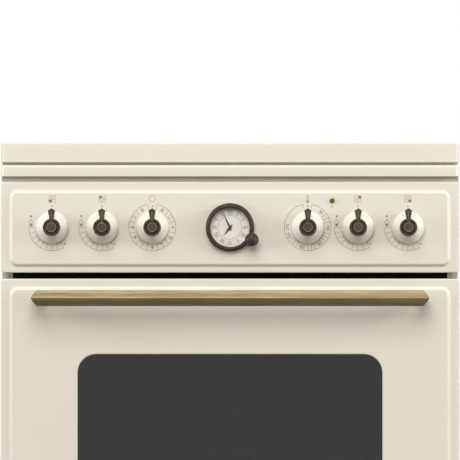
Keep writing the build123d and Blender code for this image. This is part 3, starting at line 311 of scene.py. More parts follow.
def dressNode(name, bm, node, **more):
    newPiece(name, bm, bodyOf[node], slotOf[node], replaces=[node], **more)


def level(x, y, z):
    return Matrix.Translation((x, y, z))


def upright(x, y, z):
    return level(x, y, z) @ Matrix.Rotation(math.radians(90), 4, "X")


def rearward(x, y, z):
    return level(x, y, z) @ Matrix.Rotation(math.radians(-90), 4, "X")


def facesOf(verts):
    return list({face for vert in verts for face in vert.link_faces})


def edgesOf(verts):
    return list({edge for vert in verts for edge in vert.link_edges})


def faceOut(bm, verts=None):
    # turns the faces at these verts, or all of them, to the outside
    bmesh.ops.recalc_face_normals(bm, faces=facesOf(verts) if verts else bm.faces[:])


def roundedFace(bm, halfWide, halfTall, corner, place):
    # one face with its four corners bevelled round
    known = set(bm.faces)
    size = Matrix.Diagonal((halfWide, halfTall, 1, 1))
    verts = bmesh.ops.create_grid(bm, x_segments=1, y_segments=1, size=1, matrix=size)["verts"]
    bmesh.ops.bevel(bm, geom=verts, offset=corner, segments=8, profile=0.5, affect="VERTICES", material=-1)
    face = next(face for face in bm.faces if face not in known)
    bmesh.ops.transform(bm, matrix=place, verts=face.verts[:])
    return face


def openFace(bm, face):
    # takes the face away and keeps its edges
    edges = face.edges[:]
    bmesh.ops.delete(bm, geom=[face], context="FACES_ONLY")
    return edges


def insetFace(bm, face, width):
    bmesh.ops.inset_region(bm, faces=[face], thickness=width, use_boundary=True, use_even_offset=True)


def foldEdges(bm, edges, shift, shrink=(1, 1, 1), centre=(0, 0, 0)):
    # draws the edges out into a wall and returns the wall's far edges
    made = bmesh.ops.extrude_edge_only(bm, edges=edges)["geom"]
    verts = [item for item in made if isinstance(item, bmesh.types.BMVert)]
    bmesh.ops.scale(bm, vec=shrink, verts=verts, space=level(*-Vector(centre)))
    bmesh.ops.translate(bm, vec=shift, verts=verts)
    return [item for item in made if isinstance(item, bmesh.types.BMEdge)]


def drawUp(bm, faces, shift):
    # raises the faces on new walls and returns the raised verts
    made = bmesh.ops.extrude_face_region(bm, geom=faces)["geom"]
    raised = [item for item in made if isinstance(item, bmesh.types.BMVert)]
    bmesh.ops.translate(bm, vec=shift, verts=raised)
    return raised


def widestFace(bm, known=()):
    # the many-sided face that a bevel leaves inside its strips
    return max((face for face in bm.faces if face not in known), key=lambda face: len(face.verts))


def soften(bm, edges, width, segments=3):
    bmesh.ops.bevel(bm, geom=edges, offset=width, segments=segments, profile=0.5, affect="EDGES",
                    material=-1, clamp_overlap=True)


def sharpEdges(bm, angle):
    return [edge for edge in bm.edges if edge.is_manifold and edge.calc_face_angle(0) > math.radians(angle)]


def formedField(bm, halfWide, halfTall, corner, place, slope, shift, bend, collar=6 * mm):
    # a flat collar, then a sloped wall to a field that is set off by shift, with both bends rounded;
    # gives the collar's outer edges and the edges of the field, which is left open
    knownEdges, knownFaces = set(bm.edges), set(bm.faces)
    field = roundedFace(bm, halfWide + collar, halfTall + collar, corner + collar, place)
    for width in (collar, slope):
        insetFace(bm, field, width)
    bmesh.ops.translate(bm, vec=shift, verts=field.verts[:])
    soften(bm, [edge for edge in sharpEdges(bm, 20) if edge not in knownEdges], bend, 4)
    inner = openFace(bm, widestFace(bm, knownFaces))
    outer = [edge for edge in bm.edges if edge.is_boundary and edge not in knownEdges and edge not in inner]
    return outer, inner


def roundLoop(bm, radius, place):
    made = bmesh.ops.create_circle(bm, cap_ends=False, radius=radius, segments=48, matrix=place)
    return edgesOf(made["verts"])


def fillFlat(bm, edges, normal):
    bmesh.ops.triangle_fill(bm, use_beauty=True, edges=edges, normal=normal)


def spunShell(bm, profile, place, steps=96):
    # turns a profile of radius and depth pairs about the piece's own axis; depth runs to the front
    verts = [bm.verts.new((radius, 0, depth)) for radius, depth in profile]
    edges = [bm.edges.new(pair) for pair in zip(verts, verts[1:])]
    if profile[0][0] > 0 and profile[-1][0] > 0:
        edges.append(bm.edges.new((verts[-1], verts[0])))
    known = set(bm.verts) - set(verts)
    bmesh.ops.spin(bm, geom=verts + edges, cent=(0, 0, 0), axis=(0, 0, 1), dvec=(0, 0, 0),
                   angle=math.tau, steps=steps, use_merge=True)
    made = [vert for vert in bm.verts if vert not in known]
    bmesh.ops.remove_doubles(bm, verts=made, dist=1e-6)
    made = [vert for vert in bm.verts if vert not in known]
    bmesh.ops.transform(bm, matrix=place, verts=made)
    faceOut(bm, made)


def mirrored(middle, half):
    # both sides of an outline from its one half; a point on the middle line is kept single
    return [(middle - x, z) for x, z in half] + [(middle + x, z) for x, z in half[::-1] if x]


def roundPin(bm, radius, flat, top, edge, place, steps, foot=0):
    # a pin whose flat end falls away over its edge
    spunShell(bm, [(0, top), (flat, top), (radius, top - edge), (radius, foot), (0, foot)], place, steps)


# Pressed fronts: a flat rim round a raised field

pressing = inMm(sheet=1.2, rise=3.5, sideMargin=12.1, topMargin=10.7, lowMargin=7.8, collar=2, slope=3.4,
                fieldCorner=10.5, outlineCorner=4.2, edgeRound=1.6, crestRound=0.8)
doorHinge = next(joint for joint in record["behaviour"]["joints"] if joint["name"] == "oven_door_hinge")
hingeSlot = inMm(inset=44, half=4, ahead=6.5)
slotY = doorHinge["pos_m"][1] - hingeSlot["ahead"]


def lowFold(bm, lowZ, start=-1, end=1):
    # the faces of the lower edge's fold between two x
    bm.normal_update()
    near = 5e-6
    return [face for face in bm.faces
            if abs(face.normal.z) > 0.95 and abs(face.calc_center_median().z - lowZ) < near
            and start < face.calc_center_median().x < end]


def cutAcross(bm, faces, point, direction):
    parts = {item for face in faces for item in (face, *face.edges, *face.verts)}
    bmesh.ops.bisect_plane(bm, geom=list(parts), plane_co=point, plane_no=direction, dist=1e-6)


def cutSlots(bm, lowZ, slots):
    # opens the lower edge's fold from behind, between each pair of x
    for x in (x for pair in slots for x in pair):
        cutAcross(bm, lowFold(bm, lowZ), (x, 0, 0), (1, 0, 0))
    for start, end in slots:
        cutAcross(bm, lowFold(bm, lowZ, start, end), (0, slotY, 0), (0, 1, 0))
        opened = [face for face in lowFold(bm, lowZ, start, end) if face.calc_center_median().y > slotY]
        bmesh.ops.delete(bm, geom=opened, context="FACES")


def pressedFront(name, node, holes=(), window=None, slots=()):
    low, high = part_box(node)
    middle = (low.z + high.z) / 2
    wide, tall = high.x, (high.z - low.z) / 2
    rimY = low.y + pressing["rise"]
    fieldWide = wide - pressing["sideMargin"]
    fieldTall = tall - (pressing["topMargin"] + pressing["lowMargin"]) / 2
    fieldMiddle = middle - (pressing["topMargin"] - pressing["lowMargin"]) / 2
    bm = bmesh.new()
    outline = roundedFace(bm, wide, tall, pressing["outlineCorner"], upright(0, rimY, middle)).edges[:]
    foldEdges(bm, outline, (0, high.y - rimY, 0))
    soften(bm, outline, pressing["edgeRound"], 6)
    cutSlots(bm, low.z, slots)
    rim = openFace(bm, widestFace(bm))
    foot, crest = formedField(
        bm, fieldWide, fieldTall, pressing["fieldCorner"], upright(0, rimY, fieldMiddle), pressing["slope"],
        (0, -pressing["rise"], 0), pressing["crestRound"], pressing["collar"])
    cuts = [edge for radius, x, z in holes for edge in roundLoop(bm, radius, upright(x, low.y, z))]
    if window:
        cuts = formedField(
            bm, window["halfWide"], window["halfTall"], window["corner"], upright(0, low.y, window["z"]),
            window["slope"], (0, window["fold"], 0), window["round"])[0]
    fillFlat(bm, rim + foot, (0, -1, 0))
    fillFlat(bm, crest + cuts, (0, -1, 0))
    faceOut(bm)
    dressNode(name, bm, node, thickness=pressing["sheet"])


panelHole = inMm(spindle=5.5, dialGap=1.5, lamp=3.4)
panelHoles = [(panelHole["spindle"], x, knobZ) for x in knobX.values()]
panelHoles.append((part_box("clock_dial")[1].x + panelHole["dialGap"], clockCentre.x, clockCentre.z))
panelHoles.append((panelHole["lamp"], lampCentre.x, lampCentre.z))
pressedFront("controlPanel", "control_panel", panelHoles)

glassLow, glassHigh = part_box("door_window_glass")
glassLap = 14 * mm
doorWindow = {
    "halfWide": glassHigh.x - glassLap,
    "halfTall": (glassHigh.z - glassLow.z) / 2 - glassLap,
    "z": (glassHigh.z + glassLow.z) / 2,
    **inMm(corner=25, slope=0.2, fold=1.1, round=0.5),
}
slotX = panelHigh.x - hingeSlot["inset"]
hingeSlots = [(side * slotX - hingeSlot["half"], side * slotX + hingeSlot["half"]) for side in (-1, 1)]
pressedFront("ovenDoorPanel", "door_outer_panel", window=doorWindow, slots=hingeSlots)
pressedFront("drawerPanel", "drawer_front")
print("pressed fronts made")


# Hob lid and tray

lidShape = inMm(corner=6.4, edgeRound=1.7, brimRound=0.7, fold=9, sheet=1.2, setBack=2.5)


def foldedPan(bm, shape, front, low, high, brimSteps, crestSteps):
    # a flat top folded down all round, with a flange turned in below
    middle, shrink = (front + high.y) / 2, 1 - shape["fold"] / high.x
    top = roundedFace(bm, high.x, (high.y - front) / 2, shape["corner"], level(0, middle, high.z))
    crest = top.edges[:]
    brim = foldEdges(bm, crest, (0, 0, low.z - high.z))
    foldEdges(bm, brim, (0, 0, shape["sheet"]), (shrink, shrink, 1), (0, middle, 0))
    faceOut(bm)
    soften(bm, brim, shape["brimRound"], brimSteps)
    soften(bm, [edge for edge in crest if edge.is_valid], shape["edgeRound"], crestSteps)


def hobLid():
    bm = bmesh.new()
    foldedPan(bm, lidShape, lidLow.y + lidShape["setBack"], lidLow, lidHigh, 4, 5)
    dressNode("hobLid", bm, "hob_lid", finish="lid", thickness=lidShape["sheet"])


trayShape = inMm(corner=6.4, edgeRound=3.2, brimRound=0.5, fold=9, sheet=1.2, wellMargin=28, wellCorner=22,
                 wellDepth=11, wellSlope=3, wellRound=3, cupInset=5.7, burnerPitch=256)
burnerRadius = inMm(front_left=36, rear_left=36, rear_right=48, front_right=27)
burnerX = trayHigh.x / 2 - trayShape["wellMargin"] / 2
wellFront = trayLow.y + trayShape["wellMargin"]
wellBack = lidHigh.y - trayShape["wellMargin"]
wellMiddle = (wellFront + wellBack) / 2
wellFloor = trayHigh.z - trayShape["wellDepth"]
burnerPlace = {
    name: (burnerX if "right" in name else -burnerX,
           wellMiddle + (1 if "rear" in name else -1) * trayShape["burnerPitch"] / 2)
    for name in burnerRadius
}


def hobTray():
    bm = bmesh.new()
    foldedPan(bm, trayShape, trayLow.y, trayLow, trayHigh, 3, 6)
    ledge = openFace(bm, widestFace(bm))
    lip, floorEdges = formedField(
        bm, trayHigh.x - trayShape["wellMargin"], (wellBack - wellFront) / 2, trayShape["wellCorner"],
        level(0, wellMiddle, trayHigh.z), trayShape["wellSlope"], (0, 0, -trayShape["wellDepth"]),
        trayShape["wellRound"])
    cups = [edge for name, (x, y) in burnerPlace.items()
            for edge in roundLoop(bm, burnerRadius[name] - trayShape["cupInset"], level(x, y, wellFloor))]
    fillFlat(bm, ledge + lip, (0, 0, 1))
    fillFlat(bm, floorEdges + cups, (0, 0, 1))
    faceOut(bm)
    dressNode("hobTray", bm, "hob_tray", thickness=trayShape["sheet"])


bead = inMm(sideInset=1.6, frontInset=8, width=4, clear=0.25, round=0.6)


def lidBead():
    # silicone bead under the lid's brim, just clear of the tray
    middle = (lidLow.y + lidHigh.y) / 2
    wide, deep = lidHigh.x - bead["sideInset"], (lidHigh.y - lidLow.y) / 2 - bead["frontInset"]
    bm = bmesh.new()
    ring = roundedFace(bm, wide, deep, lidShape["corner"], level(0, middle, trayHigh.z + bead["clear"]))
    insetFace(bm, ring, bead["width"])
    openFace(bm, ring)
    drawUp(bm, bm.faces[:], (0, 0, lidLow.z - trayHigh.z))
    faceOut(bm)
    soften(bm, sharpEdges(bm, 60), bead["round"])
    newPiece("lidBead", bm, "lid", "seal_rubber", finish="bead")


frameTrim = inMm(gap=0.05, lip=2.6, sheet=1.2, flangeInset=8.2, lap=0.5, round=0.3)


def frameReturns():
    # the front frame ends in a black lip, painted shade that carries the vent cavity's dark out to the sides,
    # and the side panels' flanges turn in behind it
    low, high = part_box("front_frame")
    sheet = frameTrim["sheet"]
    lipEdge, flangeEdge = high.x + frameTrim["lip"], panelHigh.x - frameTrim["flangeInset"]
    for name, inner, outer, depth, slot, finish in (
            ("frameShadeLip", high.x + frameTrim["gap"], lipEdge, sheet / 2, "black_enamel", "frame"),
            ("frameReturn", lipEdge - frameTrim["lap"], flangeEdge, sheet * 1.5, "cream_enamel", None)):
        for side, end in ((-1, "Left"), (1, "Right")):
            bm = bmesh.new()
            size = Matrix.Diagonal((outer - inner, sheet, high.z - low.z, 1))
            middle = level(side * (inner + outer) / 2, low.y + depth, (low.z + high.z) / 2)
            bmesh.ops.create_cube(bm, size=1, matrix=middle @ size)
            soften(bm, bm.edges[:], frameTrim["round"], 2)
            newPiece(name + end, bm, "chassis", slot, finish=finish)


hobLid()
hobTray()
lidBead()
frameReturns()
print("lid and tray made")


# Door handle: a lozenge bar mitred into two legs

handleShape = {"bulge": 0.77, **inMm(edgeRound=0.3, halfDepth=7.8, lift=1, inset=2)}


def doorHandle():
    low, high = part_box("door_handle")
    depth = handleShape["halfDepth"]
    tall = (high.z - low.z) / 2
    middle = (low.z + high.z) / 2 + handleShape["lift"]
    legX, barY = high.x - depth - handleShape["inset"], low.y + depth
    bm = bmesh.new()
    stations = []
    for x, y, side in ((-legX, high.y, 0), (-legX, barY, -1), (legX, barY, 1), (legX, high.y, 0)):
        verts = bmesh.ops.create_circle(bm, cap_ends=False, segments=8, radius=1)["verts"]
        middles = [vert for vert in verts if abs(vert.co.x * vert.co.y) > 0.1]
        bmesh.ops.scale(bm, vec=[handleShape["bulge"]] * 3, verts=middles)  # leaves the facets a little full
        bmesh.ops.scale(bm, vec=(depth, tall, 1), verts=verts)
        bmesh.ops.transform(bm, matrix=upright(x, y, middle), verts=verts)
        for vert in verts:
            vert.co.y += side * (x - vert.co.x) if side else 0  # shears the section into the mitre
        stations.append(edgesOf(verts))
    for near, far in zip(stations, stations[1:]):
        bmesh.ops.bridge_loops(bm, edges=near + far)
    bmesh.ops.holes_fill(bm, edges=stations[0] + stations[-1])
    faceOut(bm)
    soften(bm, sharpEdges(bm, 15), handleShape["edgeRound"])
    dressNode("doorHandle", bm, "door_handle", sharp=50)


doorHandle()
print("handle made")


# Knobs

knobShape = inMm(
    hubRadius=11.4, capRadius=6.6, capEdge=0.9, hubRound=0.45, grooveWidth=2, grooveDepth=2.4, capRise=3.6,
    hubLength=5, stemRadius=4, tailReach=25, tailTip=3.1, tailHalf=4.8, tailWaist=2.9, tailRidge=1.7,
    tailNeck=1.2, tailDepth=3.4, tailRound=0.9, skirtEdge=1.5, skirtTop=12, skirtBore=4.3, skirtRound=0.6,
    rimWidth=0.9, rimRise=0.25, indexHalf=0.5, indexLong=7)


def knobSkirt(name):
    node = f"{name}_knob_skirt"
    low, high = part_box(node)
    wide, deep = (high.x - low.x) / 2, high.y - low.y
    profile = [
        (knobShape["skirtBore"], 0), (wide, 0), (wide, knobShape["skirtEdge"]),
        (knobShape["skirtTop"], deep), (knobShape["skirtBore"], deep),
    ]
    bm = bmesh.new()
    spunShell(bm, profile, upright(knobX[name], high.y, knobZ))
    soften(bm, sharpEdges(bm, 25), knobShape["skirtRound"], 4)
    dressNode(f"{name}_skirt", bm, node, finish="skirt")


def knobPointer(name):
    # a hub with a grooved cap and a flared tail, then the worn rim and index line on it
    node = f"{name}_knob_pointer"
    low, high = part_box(node)
    shape = knobShape
    backY = low.y + shape["capRise"] + shape["hubLength"]
    place = upright(knobX[name], backY, knobZ)
    hub, cap, capEdge = shape["hubRadius"], shape["capRadius"], shape["capEdge"]
    groove, grooveFloor = cap + shape["grooveWidth"], shape["hubLength"] - shape["grooveDepth"]
    top = shape["hubLength"] + shape["capRise"]
    profile = [
        (0, top), (cap - capEdge, top), (cap, top - capEdge), (cap, grooveFloor), (groove, grooveFloor),
        (groove, shape["hubLength"]), (hub, shape["hubLength"]), (hub, 0), (shape["stemRadius"], 0),
        (shape["stemRadius"], backY - high.y), (0, backY - high.y),
    ]
    bm = bmesh.new()
    spunShell(bm, profile, place)
    soften(bm, sharpEdges(bm, 40), shape["hubRound"])
    shoulder = shape["tailReach"] - shape["tailTip"]
    ridge, waist = shape["tailRidge"], shape["tailWaist"]
    outline = mirrored(0, [
        (ridge, cap * 0.8), (ridge, groove), (waist, hub), (waist, hub + shape["tailNeck"]),
        (shape["tailHalf"], shoulder), (0, shape["tailReach"])])
    blade = bm.faces.new([bm.verts.new((x, z, grooveFloor)) for x, z in outline])
    under = blade.verts[:]
    lifted = drawUp(bm, [blade], (0, 0, shape["tailDepth"]))
    bmesh.ops.transform(bm, matrix=place, verts=under + lifted)
    faceOut(bm, under + lifted)
    upper = [face for face in facesOf(lifted) if all(vert in lifted for vert in face.verts)]
    soften(bm, list({edge for face in upper for edge in face.edges}), shape["tailRound"])
    dressNode(f"{name}_pointer", bm, node)

    rim = bmesh.new()
    wide, rise = shape["rimWidth"], shape["rimRise"]
    spunShell(rim, mirrored(cap - capEdge, [
        (wide / 2, top - wide), (wide / 2, top + rise * 0.6), (wide / 4, top + rise)]), place)
    indexPlace = level(0, (hub + shoulder + shape["tailNeck"]) / 2, grooveFloor + shape["tailDepth"] - rise)
    index = roundedFace(rim, shape["indexHalf"], shape["indexLong"] / 2, shape["indexHalf"] * 0.9, indexPlace)
    bar = drawUp(rim, [index], (0, 0, 2 * rise)) + index.verts[:]
    faceOut(rim, bar)
    bmesh.ops.transform(rim, matrix=place, verts=bar)
    newPiece(f"{name}_rim", rim, bodyOf[node], slotOf[node], finish="rim")


for name in knobNames:
    knobSkirt(name)
    knobPointer(name)
print("knobs made")


# Clock

clockShape = inMm(chamfer=2.4, lip=2.5, opening=25.6, seat=26.4, edge=1.2, round=0.7, lobe=8, fillet=4)


def clockBezel():
    # the ring, a lobe behind the crown, and a neck with hollow sides between the two
    low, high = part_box("clock_bezel")
    radius, deep = clockCentre.x - low.x, high.y - low.y
    shape, place = clockShape, upright(clockCentre.x, high.y, knobZ)
    edge, lobe, opening = shape["edge"], shape["lobe"], shape["opening"]
    profile = [
        (shape["seat"], 0), (radius, 0), (radius, deep - shape["chamfer"]), (radius - shape["chamfer"], deep),
        (opening + edge, deep), (opening, deep - edge), (opening, deep - shape["lip"]),
        (shape["seat"], deep - shape["lip"]),
    ]
    crown = boxCentre("clock_setting_knob")
    bm = bmesh.new()
    spunShell(bm, profile, place, 128)
    soften(bm, sharpEdges(bm, 30), shape["round"])
    roundPin(bm, lobe, lobe - edge, deep, edge, upright(crown.x, high.y, crown.z), 48)
    centre = Vector((crown.x - clockCentre.x, crown.z - knobZ, 0))
    span, reach, near = centre.length, radius + shape["fillet"], lobe + shape["fillet"]
    swing = math.acos((near ** 2 + span ** 2 - reach ** 2) / (2 * near * span))
    sides = []
    for turn in (-1, 1):
        # the hollow's own centre, and the point where it meets the ring
        hollow = centre - Matrix.Rotation(turn * swing, 3, "Z") @ centre.normalized() * near
        start = bm.verts.new(hollow * radius / reach)
        toStart, toEnd = start.co - hollow, (centre - hollow) * (1 - lobe / near)
        sweep = math.copysign(toStart.angle(toEnd), toStart.cross(toEnd).z)
        known = set(bm.verts) - {start}
        bmesh.ops.spin(bm, geom=[start], cent=hollow, axis=(0, 0, 1), dvec=(0, 0, 0), angle=sweep,
                       steps=8, use_duplicate=False)
        side = [vert for vert in bm.verts if vert not in known]
        sides.append(sorted(side, key=lambda vert: (vert.co - start.co).length))
    rim = sides[0] + sides[1][::-1]
    neck = rim + drawUp(bm, [bm.faces.new(rim)], (0, 0, deep - shape["chamfer"]))
    bmesh.ops.transform(bm, matrix=place, verts=neck)
    faceOut(bm, neck)
    dressNode("clockBezel", bm, "clock_bezel", finish="ring")


handShape = {
    "hour_hand": {"name": "hourHand", **inMm(reach=12.2, half=1.5, set=0)},
    "minute_hand": {"name": "minuteHand", **inMm(reach=20.2, half=1.2, set=0.6)},
    **inMm(thick=0.6, tip=0.14, waist=2.2, tail=4.6, tailHalf=0.5, boss=1.5, bossEdge=0.3),
}


def clockHand(node):
    # a wedge that runs out to a fine tip, with a short tail behind its boss
    shape, own = handShape, handShape[node]
    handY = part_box(node)[0].y + own["set"]
    far = max(nodes[node].data.vertices, key=lambda vert: (vert.co.xz - clockCentre.xz).length)
    turn = math.atan2(far.co.x - clockCentre.x, far.co.z - clockCentre.z)
    place = upright(clockCentre.x, handY + shape["thick"], knobZ) @ Matrix.Rotation(-turn, 4, "Z")
    outline = mirrored(0, [
        (shape["tip"], own["reach"]), (own["half"], shape["waist"]), (shape["tailHalf"], -shape["tail"])])
    bm = bmesh.new()
    blade = bm.faces.new([bm.verts.new((x, z, 0)) for x, z in outline])
    drawUp(bm, [blade], (0, 0, shape["thick"]))
    faceOut(bm)
    bmesh.ops.transform(bm, matrix=place, verts=bm.verts[:])
    boss = shape["boss"]
    roundPin(bm, boss, boss * 0.7, shape["thick"] + own["set"], shape["bossEdge"], place, 32)
    dressNode(own["name"], bm, node, finish="hand")


clockBezel()
clockHand("hour_hand")
clockHand("minute_hand")
print("clock made")


# Printed scales, thin ink just proud of the enamel

ink = inMm(lift=0.06, line=0.5, fine=0.4, bold=0.05, markRise=27.6, mark=0.9)


def dialTurn(angle):
    return Matrix.Rotation(math.radians(angle), 4, "Y")


def dialPoint(angle, radius):
    turn = math.radians(angle)
    return radius * math.sin(turn), radius * math.cos(turn)


def inkArc(bm, radius, width, start, sweep, steps=64, centre=(0, 0, 0)):
    ends = [dialPoint(start, radius + side * width / 2) for side in (-1, 1)]
    verts = [bm.verts.new(Vector((x, 0, z)) + Vector(centre)) for x, z in ends]
    bmesh.ops.spin(bm, geom=verts + [bm.edges.new(verts)], cent=centre, axis=(0, 1, 0), dvec=(0, 0, 0),
                   angle=math.radians(sweep), steps=steps, use_merge=sweep >= 360)


def inkRing(bm, x, z, radius, line):
    inkArc(bm, radius, line, 0, 360, 32, (x, 0, z))


def inkBar(bm, place, wide, tall):
    size = Matrix.Diagonal((wide, tall, 1, 1))
    return bmesh.ops.create_grid(bm, x_segments=1, y_segments=1, size=0.5, matrix=place @ size)["verts"]


def inkTick(bm, angle, inner, outer, width):
    inkBar(bm, dialTurn(angle) @ upright(0, 0, (inner + outer) / 2), width, outer - inner)


def inkDot(bm, x, z, radius):
    bmesh.ops.create_circle(bm, cap_ends=True, radius=radius, segments=20, matrix=upright(x, 0, z))


def inkOutline(bm, verts, line):
    # leaves a line along the face's edge
    face = verts[0].link_faces[0]
    insetFace(bm, face, line)
    openFace(bm, face)


def inkText(bm, words, size, place):
    curve = bpy.data.curves.new("inkText", "FONT")
    curve.body = words
    curve.size = size
    curve.offset = ink["bold"]
    curve.align_x = curve.align_y = "CENTER"
    holder = bpy.data.objects.new("inkText", curve)
    mesh = bpy.data.meshes.new_from_object(holder)
    mesh.transform(place)
    bm.from_mesh(mesh)
    bpy.data.objects.remove(holder)
    bpy.data.curves.remove(curve)
    bpy.data.meshes.remove(mesh)


def inkFlame(bm, x, z, wide, tall):
    # a drop: the top of a circle drawn up to a point, with a smaller filled drop inside
    for share, line in ((1.0, ink["line"]), (0.46, None)):
        radius = wide / 2 * share
        verts = bmesh.ops.create_circle(bm, cap_ends=True, radius=radius, segments=24)["verts"]
        for vert in verts:
            if vert.co.y > 0:
                lift = vert.co.y / radius
                vert.co.x *= 1 - 0.75 * lift * lift
                vert.co.y *= (tall - wide / 2) / (wide / 2)
        bmesh.ops.transform(bm, matrix=upright(x, 0, z - tall / 2 + radius), verts=verts)
        if line:
            inkOutline(bm, verts, line)


def finishInk(name, bm, x, y, z, finish="ink"):
    bmesh.ops.transform(bm, matrix=level(x, y - ink["lift"], z), verts=bm.verts[:])
    bmesh.ops.reverse_faces(bm, faces=[face for face in bm.faces if face.normal.y > 0])
    newPiece(name, bm, "chassis", "dial_paint", finish=finish)


def finishScale(name, bm):
    # adds the mark that the knob points to at rest
    inkDot(bm, 0, ink["markRise"], ink["mark"])
    finishInk(f"{name}_scale", bm, knobX[name], frontY, knobZ)


def ringTicks(bm, dial, angles, inner="tickFrom"):
    for angle in angles:
        inkTick(bm, angle, dial[inner], dial["arc"], ink["fine"])


def openRing(bm, dial):
    # a ring that is open at the top, with a tick at each end
    gap = dial["gap"]
    inkArc(bm, dial["arc"], ink["line"], gap, 360 - 2 * gap)
    ringTicks(bm, dial, (gap, 360 - gap), "endFrom")


burnerSquare = {"front_left": (-1, -1), "rear_left": (-1, 1), "rear_right": (1, 1), "front_right": (1, -1)}
gasDial = {
    "arcs": ((180, 90), (150, 30)), "ticks": range(150, 271, 15), "lowAngle": 143,
    **inMm(square=3.9, squarePitch=5, squareRise=37, arc=30.5, tickFrom=21.8, lowReach=27, lowDot=1.1,
           signX=-27.5, flameRise=6.3, flameWide=6, flameTall=9.4, sparkRise=14.6, sparkWide=0.7, sparkLong=2.8),
}


def gasScale(name):
    # burner symbol, spark and flame, then ticks round the lower half
    dial, half = gasDial, gasDial["squarePitch"] / 2
    bm = bmesh.new()
    for sx, sz in burnerSquare.values():
        place = upright(sx * half, 0, dial["squareRise"] + sz * half)
        square = inkBar(bm, place, dial["square"], dial["square"])
        if (sx, sz) != burnerSquare[name]:
            inkOutline(bm, square, ink["fine"])
    for start, sweep in dial["arcs"]:
        inkArc(bm, dial["arc"], ink["line"], start, sweep)
    ringTicks(bm, dial, dial["ticks"])
    inkDot(bm, *dialPoint(dial["lowAngle"], dial["lowReach"]), dial["lowDot"])
    inkFlame(bm, dial["signX"], dial["flameRise"], dial["flameWide"], dial["flameTall"])
    for angle in (0, 60, 120):
        place = level(dial["signX"], 0, dial["sparkRise"]) @ dialTurn(angle) @ upright(0, 0, 0)
        inkBar(bm, place, dial["sparkWide"], dial["sparkLong"])
    finishScale(name, bm)


functionDial = {"gap": 11.5, **inMm(
    arc=30.7, endFrom=24, tickFrom=22.5, signRise=26.6, iconRise=37.5, icon=4.1, line=0.7, ring=1.6,
    barRise=2.1, barWide=4.2, dot=1.2, rowPitch=1.5, rowDrop=1.2, rowDot=0.6)}


def functionSign(bm, step):
    # plain oven signs: bars for top and bottom heat, a row of dots for the grill, a ring for the fan
    dial = functionDial
    if step in (1, 4, 8, 11):
        inkRing(bm, 0, 0, dial["ring"], dial["line"])
    if step in (2, 4, 5, 7, 10):
        inkBar(bm, upright(0, 0, dial["barRise"]), dial["barWide"], dial["line"])
    if step in (1, 2, 5, 6, 9, 11):
        inkBar(bm, upright(0, 0, -dial["barRise"]), dial["barWide"], dial["line"])
    if step in (3, 6, 9):
        inkDot(bm, 0, 0, dial["dot"])
    if step in (7, 8, 10):
        for place in (-1, 0, 1):
            inkDot(bm, place * dial["rowPitch"], -dial["rowDrop"], dial["rowDot"])


def functionScale():
    # an open ring in twelve parts, with a sign in all but the top one
    dial = functionDial
    bm = bmesh.new()
    openRing(bm, dial)
    ringTicks(bm, dial, range(45, 316, 30))
    for step in range(1, 12):
        known = set(bm.verts)
        functionSign(bm, step)
        sign = [vert for vert in bm.verts if vert not in known]
        bmesh.ops.transform(bm, matrix=dialTurn(30 * step) @ level(0, 0, dial["signRise"]), verts=sign)
    inkRing(bm, 0, dial["iconRise"], dial["icon"], ink["fine"])
    finishScale("function", bm)


thermostatDial = {
    "gap": 11, "labels": {"50": 41, "100": 91, "150": 142, "200": 196, "250": 246, "275": 271},
    "ticks": (54, 65, 76, 107, 117, 127, 160, 170, 180, 212, 222, 232),
    **inMm(arc=30.5, endFrom=25, labelRise=26.3, labelSize=5.3, tickFrom=22.6, bulbRise=33.6, bulb=1.9,
           bulbDot=1.1, stemRise=38.2, stemHalf=0.9, stemLong=6, stemTop=41.2, lampDrop=7.4, lampRing=1.5),
}


def thermostatScale():
    # degrees round the knob, a thermometer above it and a ring under the pilot lamp
    dial = thermostatDial
    bm = bmesh.new()
    openRing(bm, dial)
    for words, angle in dial["labels"].items():
        inkText(bm, words, dial["labelSize"], dialTurn(angle) @ upright(0, 0, dial["labelRise"]))
    ringTicks(bm, dial, dial["ticks"])
    inkRing(bm, 0, dial["bulbRise"], dial["bulb"], ink["line"])
    inkDot(bm, 0, dial["bulbRise"], dial["bulbDot"])
    for side in (-1, 1):
        inkBar(bm, upright(side * dial["stemHalf"], 0, dial["stemRise"]), ink["line"], dial["stemLong"])
    inkBar(bm, upright(0, 0, dial["stemTop"]), 2 * dial["stemHalf"], ink["line"])
    lampX, lampZ = lampCentre.x - knobX["thermostat"], lampCentre.z - knobZ
    inkRing(bm, lampX, lampZ - dial["lampDrop"], dial["lampRing"], ink["fine"])
    finishScale("thermostat", bm)


clockPrint = {
    "hours": ("XII", "I", "II", "III", "IIII", "V", "VI", "VII", "VIII", "IX", "X", "XI"), "narrow": 0.62,
    **inMm(figureRise=19.6, figureSize=8.4, ring=15.4, edge=24.9, hourTick=1.4, minuteTick=0.8, tickWide=0.25),
}


def clockMarks():
    dial = clockPrint
    bm = bmesh.new()
    inkArc(bm, dial["ring"], ink["fine"], 0, 360, 96)
    for hour, words in enumerate(dial["hours"]):
        place = dialTurn(30 * hour) @ upright(0, 0, dial["figureRise"])
        inkText(bm, words, dial["figureSize"], place @ Matrix.Diagonal((dial["narrow"], 1, 1, 1)))
    for minute in range(60):
        length = dial["minuteTick"] if minute % 5 else dial["hourTick"]
        inkTick(bm, 6 * minute, dial["edge"] - length, dial["edge"], dial["tickWide"])
    finishInk("clock_marks", bm, clockCentre.x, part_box("clock_dial")[0].y, knobZ, "dialInk")


for name in burnerSquare:
    gasScale(name)
functionScale()
thermostatScale()
clockMarks()
print("scales printed")


# Small fittings: screws on the back, pins beside the burners, the terminal box's cover, rings in the tray

screwShape = {"sideZ": (90, 250, 410, 570, 730), "lowX": (-130, 0, 130),
              **inMm(flange=5.2, flangeRise=0.9, head=4, headRise=3.4, sideX=263, lowZ=74)}


